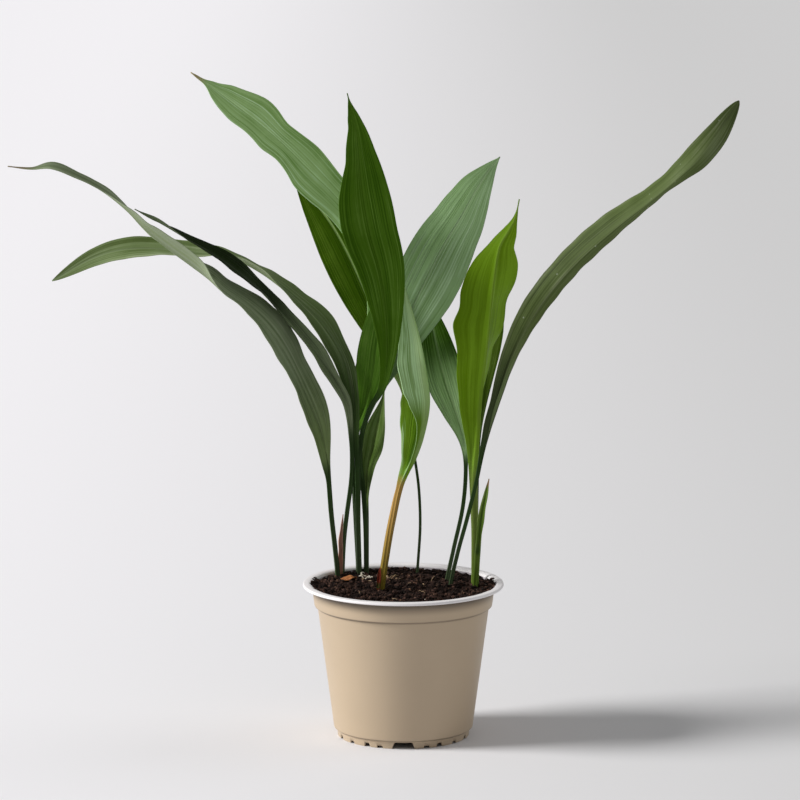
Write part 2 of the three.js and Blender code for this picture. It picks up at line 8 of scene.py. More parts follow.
import bpy
import numpy as np
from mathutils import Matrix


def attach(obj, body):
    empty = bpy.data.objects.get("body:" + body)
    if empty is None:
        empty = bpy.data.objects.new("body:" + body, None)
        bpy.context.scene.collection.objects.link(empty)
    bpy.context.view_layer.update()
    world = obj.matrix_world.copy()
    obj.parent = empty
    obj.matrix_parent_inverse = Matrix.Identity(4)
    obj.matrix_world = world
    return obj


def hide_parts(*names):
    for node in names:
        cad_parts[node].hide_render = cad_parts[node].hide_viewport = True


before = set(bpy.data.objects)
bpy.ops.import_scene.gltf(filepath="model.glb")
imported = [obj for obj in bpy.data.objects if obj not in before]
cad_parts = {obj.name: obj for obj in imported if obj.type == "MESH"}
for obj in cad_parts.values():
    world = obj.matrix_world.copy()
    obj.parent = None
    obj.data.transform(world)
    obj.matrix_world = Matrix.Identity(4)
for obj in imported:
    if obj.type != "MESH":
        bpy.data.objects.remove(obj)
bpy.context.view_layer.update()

MM = 0.001
RANDOM = np.random.default_rng(20)

# Leaves -----------------------------------------
BURIED = 12
STALK_DEPTH_RATIO = 1.5
BLADE_EDGE = 0.45
BLADE_RIB = 1.6
RIB_REACH = 1.5
TIP_HALF_WIDTH = 0.35
FOLD_AT_RIB = 1.3
FOLD_AT_MARGIN = 0.7
CALM_WIDTH = 0.1
STALK_FILL = 0.9
STALK_EDGE = 0.9
THINS_SOONER = 3
FRONT = np.array([0, -1, 0.17]) / math.hypot(1, 0.17)
STATION_STEP = 2.0
# Waves are (height, length): the fine ones at the margins, and the sway of a whole side. Plies are ridges
# along a side, which fade at the rib and the margin.
RIPPLE = (0.3, 21)
SWAY = (0.5, 95)
SWELL_LENGTH = 130
PLY_COUNT = 3
PLY_WIDTH = 6
PLY_DEPTH = 0.22
PLY_START = 0.15
PLY_END = 0.1
RIB_GROOVE = 0.35
RIB_GROOVE_REACH = 0.9
FACE_TURN = 0.08
HALF_COLUMNS = [0.03, 0.07, 0.12, 0.18, 0.25, 0.33, 0.41, 0.49, 0.57, 0.65, 0.73, 0.81, 0.88, 0.94, 0.98, 1]
PLAIN_MARGIN = [(0, 1), (1, 1)]

# A row of a route is x, y, z and, where it isn't 0, the turn in degrees: at 0 the upper face looks to the
# front. left and right change the half width of that side from the plain blade's: (share of it, factor).
LEAVES = dict(
    leaf_01=dict(
        stalk=1.6, start=70, widest=180, half=20, taper=1.2, fold=(35, 14), wave=(0.8, 70),
        left=[(0, 1), (0.04, 1.5), (0.12, 1.1), (0.2, 1), (0.85, 1), (0.91, 1.5), (0.955, 0.7), (1, 1)],
        right=[(0.14, 1), (0.24, 0.78), (0.33, 1), (0.85, 1), (0.91, 1.5), (0.955, 0.7), (1, 1)],
        route=[
            (-49.3, 35, 113, 10), (-51.2, 34.5, 134, 8), (-54, 34, 160, 5), (-57, 32, 197),
            (-61.5, 30, 224, 15), (-71, 26, 250, 45), (-80, 21, 271, 58), (-90, 16, 290, 58),
            (-103, 10, 309, 62), (-117, 6, 323, 66), (-132, 3, 334.5, 72), (-144, 0, 346, 80),
            (-158, -6, 357.5, 103), (-173, -12, 369.5, 106), (-190, -19, 385, 104), (-201, -25, 398, 95),
            (-217, -30, 412, 78), (-236, -36, 424, 66), (-256, -42, 433, 56), (-270, -45, 432, 40),
            (-287, -48, 434, 30),
        ],
    ),
    leaf_02=dict(
        stalk=1.5, start=80, widest=230, half=15, taper=0.7, fold=(25, 10), wave=(0.6, 60),
        right=[(0.1, 1), (0.2, 0.78), (0.27, 0.62), (0.36, 0.95), (0.5, 1)],
        route=[
            (-33, 38, 113), (-34, 38.5, 155), (-34.5, 39.5, 190), (-36, 41.5, 222, 5), (-39, 43.5, 255, 8),
            (-45, 47.5, 278, 20), (-60, 54, 302, 45), (-80, 60, 321, 70), (-107, 67, 341, 84),
            (-130, 73, 351, 80), (-156, 79, 353.5, 66), (-185, 85, 355.5, 52), (-211, 91, 354, 30),
            (-234, 97, 347, 15), (-267, 104, 328, 5),
        ],
    ),
    leaf_03=dict(
        stalk=1.4, start=95, widest=230, half=13, taper=1.2, fold=(35, 15), wave=(0.6, 55),
        left=[(0.2, 1), (0.34, 1.25), (0.46, 1), (0.86, 1), (0.93, 1.5), (1, 1)],
        right=[
            (0.14, 1), (0.22, 0.75), (0.34, 1.05), (0.42, 0.95), (0.48, 0.75), (0.56, 0.6), (0.7, 0.75),
            (0.8, 0.85), (0.93, 1.5), (1, 1),
        ],
        route=[
            (-46, 43, 113), (-44.8, 43, 139), (-42.6, 42.5, 159), (-39.3, 41.5, 184), (-38.5, 39.5, 198),
            (-39, 36, 218, 5), (-42.5, 32.5, 246, 15), (-50, 31, 261, 30), (-65, 31.1, 283, 56),
            (-84, 30.3, 307, 68), (-103, 27, 330, 70), (-128, 22.3, 353, 58), (-157, 20, 370, 66),
            (-172, 20, 379, 88), (-188, 20, 388, 120), (-199, 20, 394, 130),
        ],
    ),
    leaf_04=dict(
        stalk=1.5, start=165, widest=320, half=17.5, taper=1, fold=(25, 8), wave=(1.6, 46),
        left=[
            (0.5, 1), (0.58, 1.03), (0.67, 0.84), (0.74, 1.02), (0.79, 1.02), (0.86, 1.25), (0.92, 1.45),
            (0.96, 0.6), (1, 1),
        ],
        right=[
            (0.42, 1), (0.5, 0.8), (0.62, 0.96), (0.7, 0.88), (0.8, 1.4), (0.88, 1.3), (0.93, 0.95),
            (0.965, 0.6), (1, 1),
        ],
        route=[
            (-34, 51.7, 113), (-36, 55, 153), (-38, 58, 200), (-38, 60, 250), (-31, 61, 282), (-24, 59, 308),
            (-23, 55, 334, 5), (-27, 50, 359, 8), (-37, 45, 384, 10), (-52, 39, 403, 14), (-71, 32, 423, 14),
            (-88, 26, 441, 20), (-105, 20, 457, 14), (-122, 15, 471, 8), (-140, 10, 485, 30),
            (-156, 5, 497, 45),
        ],
    ),
    leaf_05=dict(
        stalk=1.5, start=125, widest=298, half=21, taper=1.7, fold=(30, 16), wave=(0.7, 80),
        left=[(0.4, 1), (0.6, 1.08), (0.8, 1.03), (0.9, 1.28), (0.94, 1.7), (0.97, 2.1), (1, 1.5)],
        right=[(0.5, 1), (0.6, 0.95), (0.8, 0.95), (0.9, 1.05), (0.94, 1.15), (1, 1)],
        route=[
            (-33, 42.5, 113), (-34, 43.5, 150), (-33.5, 44.5, 190), (-31.5, 43, 218), (-25.5, 35, 240),
            (-16, 22, 259), (-12, 11, 283, 4), (-12, 2, 312, 8), (-16, -9, 349, 8), (-24, -18, 382, 10),
            (-29, -28, 412, 12), (-32, -38, 440, 22), (-34.5, -48, 464, 18), (-40.5, -58, 488, 10),
        ],
    ),
    leaf_06=dict(
        stalk=0.85, start=120, widest=245, half=20.5, taper=0.9, fold=(20, 8), wave=(0.7, 70),
        route=[
            (10.5, 40, 113), (12.7, 42, 150), (11.7, 46, 178), (8.7, 51, 200), (3.5, 59, 227), (0, 66.5, 252),
            (-11.5, 72.5, 281), (-25, 77, 314), (-39, 81, 346), (-53, 84, 372), (-67, 87, 391),
            (-82, 90, 408),
        ],
    ),
    leaf_07=dict(
        stalk=1.4, start=42, widest=97, half=10.3, taper=1.8, fold=(45, 32), wave=(0.4, 40),
        route=[
            (-28, 47.5, 113, -15), (-28, 50, 148, -15), (-28, 53.5, 180, -15), (-26.6, 56.5, 194, -15),
            (-23, 59.5, 208, -15), (-20, 62, 222, -15), (-16.8, 63.5, 236, -15), (-14, 64.5, 252, -15),
        ],
    ),
    leaf_08=dict(
        stalk=1.4, start=100, widest=165, half=14, taper=0.9, fold=(25, 12), wave=(0.5, 50),
        route=[
            (-33.5, 47, 113), (-35, 48.5, 154), (-37, 50, 195, -5), (-35, 49, 222, -10), (-28, 47, 243, -20),
            (-23, 47, 264, -20), (-20, 47, 287, -15), (-17, 47, 310, -5), (-12, 45, 334),
        ],
    ),
    leaf_09=dict(
        stalk=2, start=73, widest=150, half=21, taper=0.7, fold=(55, 66), wave=(0.4, 60),
        left=[(0, 1), (0.1, 1.15), (0.2, 1.2), (0.3, 1.12), (0.42, 1), (0.6, 0.9), (1, 0.9)],
        right=[
            (0, 1), (0.12, 0.7), (0.24, 0.5), (0.33, 0.58), (0.44, 1), (0.5, 1.08), (0.64, 1.1), (0.8, 0.95),
            (1, 1),
        ],
        route=[
            (-16.8, -20, 113), (-13.5, -18, 137), (-8.5, -14, 166, -10), (-2, -9, 193, -30),
            (7, -4, 210, -48), (14, 2, 228, -60), (18, 8, 250, -74), (15.7, 14, 272, -84), (12, 20, 294, -90),
            (7, 25, 314, -90), (1, 28, 334, -90),
        ],
    ),
    leaf_10=dict(
        stalk=1.5, start=105, widest=245, half=24.5, taper=1.05, fold=(25, 10), wave=(0.8, 80),
        left=[(0.4, 1), (0.55, 0.95), (0.72, 0.95), (0.82, 1.04), (0.9, 1.16), (1, 1)],
        right=[(0.1, 1), (0.25, 1.12), (0.5, 1.1), (0.8, 1.05), (1, 1)],
        route=[
            (-28, 42, 113), (-28.5, 44, 150), (-30.5, 47, 180), (-32.5, 50, 200), (-31.5, 52, 218),
            (-25, 54, 240), (-17, 55, 261), (-7, 54, 285), (4, 51, 310, -4), (17, 47, 337, -8),
            (30, 43, 363, -10), (43, 39, 385, -14), (54, 34, 406, -10), (64, 29, 422.5), (71.5, 26, 432),
        ],
    ),
    leaf_11=dict(
        stalk=2.3, start=62, widest=208, half=22.5, taper=2.1, fold=(40, 25), wave=(1.2, 40),
        left=[
            (0.1, 1), (0.33, 1.25), (0.48, 1.12), (0.56, 1.16), (0.63, 1.03), (0.69, 1.13), (0.78, 1.25),
            (0.84, 1.2), (0.9, 1.4), (0.95, 1), (1, 1),
        ],
        right=[
            (0.1, 1), (0.33, 1.2), (0.48, 1.1), (0.57, 1.2), (0.635, 1.02), (0.69, 1.1), (0.78, 1.15),
            (0.84, 0.95), (0.9, 1), (0.95, 1), (1, 1),
        ],
        route=[
            (53, 7, 113, 200), (53, 6, 150, 205), (52, 4, 188, 222), (54, 1, 225, 234), (57, -3, 262, 232),
            (61, -7, 296, 225), (64, -10, 325, 214), (67, -12, 350, 194), (71, -14, 371, 166),
            (77, -15, 382, 166), (82, -16, 392, 170), (85, -17, 406, 170),
        ],
    ),
    leaf_12=dict(
        stalk=1.15, start=85, widest=290, half=17, taper=0.6, fold=(45, 16), wave=(0.6, 90),
        left=[(0, 1), (0.06, 1.4), (0.11, 1.5), (0.18, 1), (0.3, 0.97)],
        right=[(0.55, 1), (0.66, 0.74), (0.76, 0.95), (0.85, 1)],
        route=[
            (35, -4, 113), (40.5, -7, 140), (47, -10, 165), (53.5, -12, 192), (59.5, -14, 222, -8),
            (67.5, -17, 252, -20), (80, -22, 290, -34), (99, -28, 327, -47), (124, -34, 359, -51),
            (154, -40, 387, -57), (181, -45, 409, -64), (198, -49, 424, -60), (212, -52, 438, -42),
            (226, -55, 457, -18), (235, -58, 472), (242, -60, 483),
        ],
    ),
    leaf_13=dict(
        stalk=1.2, start=85, widest=160, half=14.5, taper=1, fold=(30, 12), wave=(0.5, 60),
        route=[
            (32.5, 11, 113), (37.5, 13, 138), (44.5, 17, 170), (46.7, 22, 197), (45.5, 28, 218),
            (38.5, 38, 240), (31, 47, 262), (25, 56, 286), (20, 63, 308), (16, 68, 324),
        ],
    ),
    leaf_14=dict(
        stalk=1.3, start=100, widest=185, half=10, taper=1, fold=(25, 12), wave=(0.5, 50),
        route=[
            (54.5, 24, 113), (54.5, 24, 150), (55.5, 25, 205), (57, 27, 232), (60, 30, 264), (64, 33, 294),
            (67, 36, 314), (69, 39, 335),
        ],
    ),
    sheath_dry=dict(
        stalk=1.2, start=2, widest=14, half=1.8, taper=0.7, fold=(40, 30), wave=(0.3, 14),
        route=[(-47, 39, 113, 10), (-47.2, 39, 130, 10), (-46.8, 38.8, 146, 30), (-45.3, 38.3, 160, 60)],
    ),
    sheath_strip=dict(
        stalk=1.1, start=2, widest=9, half=1.4, taper=0.6, fold=(25, 20), wave=(0.2, 9),
        route=[(-18.9, -21.7, 113, -20), (-18.3, -21.2, 121, -20), (-17.3, -19.8, 131, -30)],
    ),
    sheath_green=dict(
        stalk=1.8, start=20, widest=55, half=2.8, taper=0.9, fold=(45, 40), wave=(0.2, 30),
        route=[
            (54, -1.5, 113), (55, -3, 135), (57.5, -4.5, 163, -10), (61, -5.5, 181, -25),
            (63.5, -6, 195.5, -30),
        ],
    ),
)

# Colours are linear. deep, mid and pale are the streaks of the blade's upper face, low is its foot, which
# fades into it between the shares of reach, far replaces the three on the left of the rib, under is the
# lower face, stalk the stalk from the soil up, rib the midrib and tip the dry end. far is painted light and
# shade: a copy of the three, lighter on some leaves and darker on others, for how light falls on the two
# halves. dry is the dry share of the length and specks the strength of pale specks. threads is the strength
# of fine broken streaks, and dim paints shade, darkening the right side of a blade by a share, from one
# share of its length to another. What a leaf doesn't name is as in GREEN.
GREEN = dict(
    low=(0.02, 0.05, 0.01), reach=(0.45, 0.3), stalk=((0.05, 0.075, 0.035), (0.02, 0.045, 0.01)),
    tip=(0.12, 0.09, 0.04), rib=(0.06, 0.13, 0.03), rib_share=0.3, far=None, veins=0.08, dry=0.0, specks=0.0,
    roughness=0.45, threads=0.7, dim=None,
)
TONES = dict(
    leaf_01=dict(
        # mid and pale are partly the leaf's grey-olive and partly a painted sheen along its middle
        deep=(0.107, 0.147, 0.0649), mid=(0.239, 0.295, 0.173), pale=(0.323, 0.384, 0.249),
        low=(0.101, 0.14, 0.0522), under=(0.269, 0.335, 0.177), rib=(0.194, 0.249, 0.126),
        reach=(0.42, 0.22), rib_share=0.5, veins=0.03, dry=0.05, tip=(0.259, 0.211, 0.133),
    ),
    leaf_02=dict(
        deep=(0.07, 0.103, 0.0276), mid=(0.129, 0.179, 0.07), pale=(0.237, 0.29, 0.157),
        low=(0.0303, 0.0534, 0.0143), under=(0.171, 0.228, 0.105), rib=(0.187, 0.237, 0.129),
        reach=(0.48, 0.3), rib_share=0.4, veins=0.03,
    ),
    leaf_03=dict(
        deep=(0.0061, 0.0121, 0.00204), mid=(0.0142, 0.026, 0.00684), pale=(0.0695, 0.0927, 0.0458),
        low=(0.143, 0.177, 0.0991), under=(0.106, 0.143, 0.0695), rib=(0.0275, 0.0458, 0.0165),
        reach=(0.66, 0.52), veins=0.02,
    ),
    leaf_04=dict(
        # deep, mid and pale are partly the leaf's waxy bloom and partly a painted sheen
        deep=(0.21, 0.384, 0.0993), mid=(0.363, 0.566, 0.22), pale=(0.566, 0.801, 0.462),
        low=(0.315, 0.53, 0.166), under=(0.37, 0.566, 0.242), rib=(0.566, 0.813, 0.384), reach=(0.7, 0.5),
        veins=0.05, dry=0.035, tip=(0.446, 0.37, 0.19),
    ),
    leaf_05=dict(
        deep=(0.0286, 0.0818, 0.0008), mid=(0.0524, 0.126, 0.00478), pale=(0.0994, 0.195, 0.0243),
        # low paints a shadow: a darker, greyer foot over the lower part of the blade
        low=(0.0334, 0.0737, 0.00743), under=(0.0614, 0.141, 0.0125), rib=(0.0818, 0.173, 0.0146),
        reach=(0.45, 0.25), rib_share=0.4, veins=0.06,
    ),
    leaf_06=dict(
        deep=(0.0325, 0.0806, 0.0008), mid=(0.0546, 0.116, 0.00339), pale=(0.0927, 0.168, 0.0121),
        low=(0.196, 0.276, 0.0927), under=(0.0991, 0.168, 0.0275), rib=(0.345, 0.478, 0.177),
        reach=(0.62, 0.42), rib_share=0.8, veins=0.1, specks=0.15,
    ),
    leaf_07=dict(
        deep=(0.061, 0.113, 0.0147), mid=(0.121, 0.189, 0.0508), pale=(0.238, 0.328, 0.129),
        low=(0.0665, 0.113, 0.0231), under=(0.146, 0.215, 0.0665), rib=(0.194, 0.275, 0.0912),
        reach=(0.5, 0.3), rib_share=0.4, veins=0.04,
    ),
    leaf_08=dict(
        deep=(0.0448, 0.114, 0.00669), mid=(0.068, 0.16, 0.0129), pale=(0.103, 0.201, 0.0269),
        low=(0.0408, 0.0847, 0.00996), under=(0.0789, 0.173, 0.0186), rib=(0.0969, 0.201, 0.0239),
        reach=(0.5, 0.35), rib_share=0.4, veins=0.05,
    ),
    leaf_09=dict(
        # deep, mid and pale are partly the leaf's waxy bloom and partly a painted sheen over the right half;
        # far is its green without the sheen
        deep=(0.185, 0.329, 0.0951), mid=(0.335, 0.523, 0.223), pale=(0.54, 0.782, 0.431),
        low=(0.101, 0.194, 0.0109), under=(0.311, 0.476, 0.203), rib=(0.523, 0.702, 0.311),
        reach=(0.66, 0.55), rib_share=0.4, veins=0.09,
        far=((0.0834, 0.159, 0.00615), (0.108, 0.203, 0.0109), (0.168, 0.287, 0.0308)),
        stalk=((0.18, 0.135, 0.0178), (0.422, 0.251, 0.0767)),
    ),
    leaf_10=dict(
        # deep, mid and pale are partly the leaf's waxy bloom and partly a painted sheen
        deep=(0.108, 0.181, 0.0705), mid=(0.147, 0.234, 0.108), pale=(0.218, 0.314, 0.181),
        low=(0.0879, 0.151, 0.0485), under=(0.16, 0.242, 0.118), rib=(0.242, 0.334, 0.188), reach=(0.6, 0.3),
        rib_share=0.5, veins=0.06, specks=0.2,
        far=((0.197, 0.33, 0.129), (0.27, 0.428, 0.197), (0.398, 0.574, 0.33)),
    ),
    leaf_11=dict(
        deep=(0.121, 0.245, 0.00093), mid=(0.143, 0.284, 0.00277), pale=(0.18, 0.332, 0.0147),
        low=(0.147, 0.235, 0.0405), under=(0.118, 0.222, 0.00466), rib=(0.245, 0.372, 0.0676),
        # dim paints shade on the upper right half, and far paints the left half lighter for the light it misses
        reach=(0.42, 0.2), rib_share=0.35, veins=0.015, dim=(0.58, 0.74, 0.45),
        far=((0.145, 0.294, 0.00112), (0.172, 0.34, 0.00332), (0.216, 0.398, 0.0177)),
        stalk=((0.128, 0.188, 0.0333), (0.16, 0.222, 0.0467)),
    ),
    leaf_12=dict(
        deep=(0.0259, 0.0372, 0.0101), mid=(0.0418, 0.0578, 0.0184), pale=(0.0875, 0.103, 0.0549),
        low=(0.0328, 0.0455, 0.0184), under=(0.0521, 0.0669, 0.0288), rib=(0.0669, 0.0838, 0.0372),
        reach=(0.5, 0.3), rib_share=0.4, veins=0.02, specks=0.35,
        far=((0.0537, 0.077, 0.0209), (0.0866, 0.12, 0.0382), (0.181, 0.213, 0.114)),
    ),
    leaf_13=dict(
        deep=(0.0266, 0.0758, 0.0008), mid=(0.0447, 0.11, 0.00689), pale=(0.123, 0.226, 0.0569),
        low=(0.193, 0.294, 0.137), under=(0.0811, 0.145, 0.0225), rib=(0.282, 0.405, 0.193),
        reach=(0.85, 0.6), rib_share=0.5, veins=0.12,
    ),
    leaf_14=dict(
        deep=(0.0376, 0.0752, 0.00366), mid=(0.0675, 0.118, 0.0109), pale=(0.176, 0.265, 0.0726),
        low=(0.0492, 0.0892, 0.00758), under=(0.0779, 0.128, 0.0171), rib=(0.121, 0.194, 0.0412),
        reach=(0.5, 0.3), veins=0.05,
    ),
    sheath_dry=dict(
        deep=(0.36, 0.19, 0.14), mid=(0.52, 0.3, 0.23), pale=(0.66, 0.45, 0.38), low=(0.4, 0.2, 0.14),
        under=(0.5, 0.3, 0.23), stalk=((0.40, 0.20, 0.13), (0.52, 0.29, 0.22)), rib=(0.5, 0.28, 0.2),
        tip=(0.45, 0.35, 0.25), roughness=0.7,
    ),
    sheath_strip=dict(
        deep=(0.13, 0.02, 0.012), mid=(0.2, 0.035, 0.02), pale=(0.3, 0.08, 0.04),
        under=(0.16, 0.03, 0.02), stalk=((0.13, 0.02, 0.01), (0.2, 0.03, 0.02)), rib=(0.2, 0.04, 0.02),
        tip=(0.3, 0.15, 0.08), roughness=0.6,
    ),
    sheath_green=dict(
        deep=(0.08, 0.15, 0.015), mid=(0.13, 0.22, 0.03), pale=(0.22, 0.3, 0.08),
        under=(0.1, 0.18, 0.03), stalk=((0.09, 0.15, 0.02), (0.13, 0.22, 0.03)), tip=(0.3, 0.2, 0.1), dry=0.1,
    ),
)


VEIN_SPACING = 2.0
VEIN_DRIFT = 2.4
VEIN_RELIEF = 2.5
FOOT_LIFT = 1.7
MARGIN_SHARE = 0.3
LEAF_SHINE = 0.03
LOOK_SHIFT = 11.7

# Noise drawn out along the leaf: its scale across a half and along the whole, a shift that makes it another
# noise, and its detail.
STREAKS = {
    "bands": (3.5, 2.0, 0, 2), "lines": (11, 2.5, 3, 3), "fibres": (26, 5, 6, 2), "patches": (6, 2, 9, 2),
    "threads": (17, 3, 12, 1), "breaks": (2.5, 5, 15, 2),
}
# Where a look fades in, as the values at which it starts and is full.
MID_TONES = (0.38, 0.5)
PALE_TONES = (0.52, 0.64)
HALF_TONES = (0.4, 0.6)
THREAD_PALE = (0.56, 0.66)
THREAD_DEEP = (0.44, 0.34)
THREAD_BREAKS = (0.48, 0.6)
RIB_REACHES = (1.2, 0.3)
RIB_OPENS = (0.15, 0.5)
MARGIN = (0.95, 1.0)
STALK_TONES = (0, 70)
STALK_STREAKS = (0.45, 0.6)
STALK_ENDS = (0.12, 0.0)
SPECK_SIZE = (0.13, 0.06)
SPECK_PATCHES = (0.58, 0.66)
SPECK_COLOUR = (0.5, 0.55, 0.45)


def smooth(value):
    t = np.clip(value, 0, 1)
    return t * t * (3 - 2 * t)


def between(start, end, share):
    return start + (end - start) * share


def unit(vectors):
    return vectors / np.linalg.norm(vectors, axis=-1, keepdims=True)


def full_turn(sides):
    return np.linspace(0, 2 * math.pi, sides, endpoint=False)


class Midrib:
    """A centripetal Catmull-Rom curve through a route, by length along it, with the turn at each place."""

    SAMPLES = 3000

    def __init__(self, rows):
        points = np.array([row[:3] for row in rows], float)
        turns = np.array([(*row, 0)[3] for row in rows], float)
        last = len(points) - 1
        ends = np.vstack([2 * points[0] - points[1], points, 2 * points[-1] - points[-2]])
        place = np.linspace(0, last, self.SAMPLES)
        i = np.minimum(place.astype(int), last - 1)
        f = (place - i)[:, None]
        p0, p1, p2, p3 = (ends[i + k] for k in range(4))
        d0, d1, d2 = (
            np.sqrt(np.linalg.norm(b - a, axis=1))[:, None] for a, b in ((p0, p1), (p1, p2), (p2, p3))
        )
        out = ((p1 - p0) / d0 - (p2 - p0) / (d0 + d1) + (p2 - p1) / d1) * d1
        into = ((p2 - p1) / d1 - (p3 - p1) / (d1 + d2) + (p3 - p2) / d2) * d1
        self.points = self.hermite(p1, p2, out, into, f)
        before, after = turns[np.maximum(i - 1, 0)], turns[np.minimum(i + 2, last)]
        here, there = turns[i], turns[i + 1]
        self.turns = self.hermite(here, there, (there - before) / 2, (after - here) / 2, f[:, 0])
        steps = np.linalg.norm(np.diff(self.points, axis=0), axis=1)
        self.lengths = np.concatenate([[0], np.cumsum(steps)])

    @staticmethod
    def hermite(start, end, out, into, f):
        gap = end - start
        return start + out * f + (3 * gap - 2 * out - into) * f**2 + (out + into - 2 * gap) * f**3

    def at(self, length):
        """The points, directions and turns at these lengths."""
        point = np.stack([np.interp(length, self.lengths, self.points[:, k]) for k in range(3)], 1)
        slope = np.gradient(self.points, self.lengths, axis=0)
        along = unit(np.stack([np.interp(length, self.lengths, slope[:, k]) for k in range(3)], 1))
        return point, along, np.radians(np.interp(length, self.lengths, self.turns))


def quads(a, b, c, d):
    return np.stack([x.ravel() for x in (a, b, c, d)], 1).tolist()


def sheet_faces(top, bottom):
    """Faces of a closed sheet, from the numbers of the points in its upper and its lower grid."""
    faces = quads(top[:-1, :-1], top[:-1, 1:], top[1:, 1:], top[1:, :-1])
    faces += quads(bottom[:-1, :-1], bottom[1:, :-1], bottom[1:, 1:], bottom[:-1, 1:])
    faces += quads(top[:-1, 0], top[1:, 0], bottom[1:, 0], bottom[:-1, 0])
    faces += quads(top[:-1, -1], bottom[:-1, -1], bottom[1:, -1], top[1:, -1])
    faces += quads(top[0, :-1], bottom[0, :-1], bottom[0, 1:], top[0, 1:])
    return faces + quads(top[-1, :-1], top[-1, 1:], bottom[-1, 1:], bottom[-1, :-1])


def joined(shapes):
    """The coordinates and faces of many shapes as one."""
    coords, faces = [], []
    for more_coords, more_faces in shapes:
        base = len(coords)
        coords.extend(more_coords)
        faces.extend(tuple(base + i for i in face) for face in more_faces)
    return coords, faces


def new_piece(name, coords, faces, smoothed=True):
    """An object from coordinates in millimetres."""
    mesh = bpy.data.meshes.new(name)
    mesh.from_pydata((np.asarray(coords, float) * MM).tolist(), [], faces)
    mesh.validate()
    mesh.polygons.foreach_set("use_smooth", [smoothed] * len(mesh.polygons))
    mesh.update()
    piece = bpy.data.objects.new(name, mesh)
    bpy.context.scene.collection.objects.link(piece)
    return piece


def keep(piece, name, vectors):
    attribute = piece.data.attributes.new(name, "FLOAT_VECTOR", "POINT")
    attribute.data.foreach_set("vector", np.asarray(vectors, np.float32).ravel())


def outline(leaf, side, length, total):
    """The half width of a blade on one side at these lengths."""
    rise = smooth((length - leaf["start"]) / (leaf["widest"] - leaf["start"]))
    out = np.clip((length - leaf["widest"]) / (total - leaf["widest"]), 0, 1)
    grown = between(leaf["stalk"], leaf["half"], rise)
    width = np.where(length < leaf["widest"], grown, leaf["half"] * (1 - out * out) ** leaf["taper"])
    at, factor = np.array(leaf.get(side, PLAIN_MARGIN), float).T
    share = np.clip((length - leaf["start"]) / (total - leaf["start"]), 0, 1)
    i = np.clip(np.searchsorted(at, share, side="right") - 1, 0, len(at) - 2)
    local = smooth((share - at[i]) / (at[i + 1] - at[i]))
    return np.maximum(TIP_HALF_WIDTH, width * between(factor[i], factor[i + 1], local))


def waviness(leaf, length, s, hand, phases):
    """How far the face stands out at these lengths, at a share s of the half width on the side of hand."""
    def wave(height, span, phase):
        return height * np.sin(2 * math.pi * length / span + phase)

    plies = np.cos(2 * math.pi * (PLY_COUNT + leaf["half"] / PLY_WIDTH) * s + phases[4] * hand)
    plies = PLY_DEPTH * plies * smooth(s / PLY_START) * smooth((1 - s) / PLY_END)
    at_margin = wave(*leaf["wave"], hand) + wave(*RIPPLE, phases[0] + hand * phases[1])
    swell = 0.5 + wave(0.5, SWELL_LENGTH, phases[3] + 2 * hand)
    return at_margin * s * s + wave(*SWAY, phases[2] + hand) * s + plies * swell


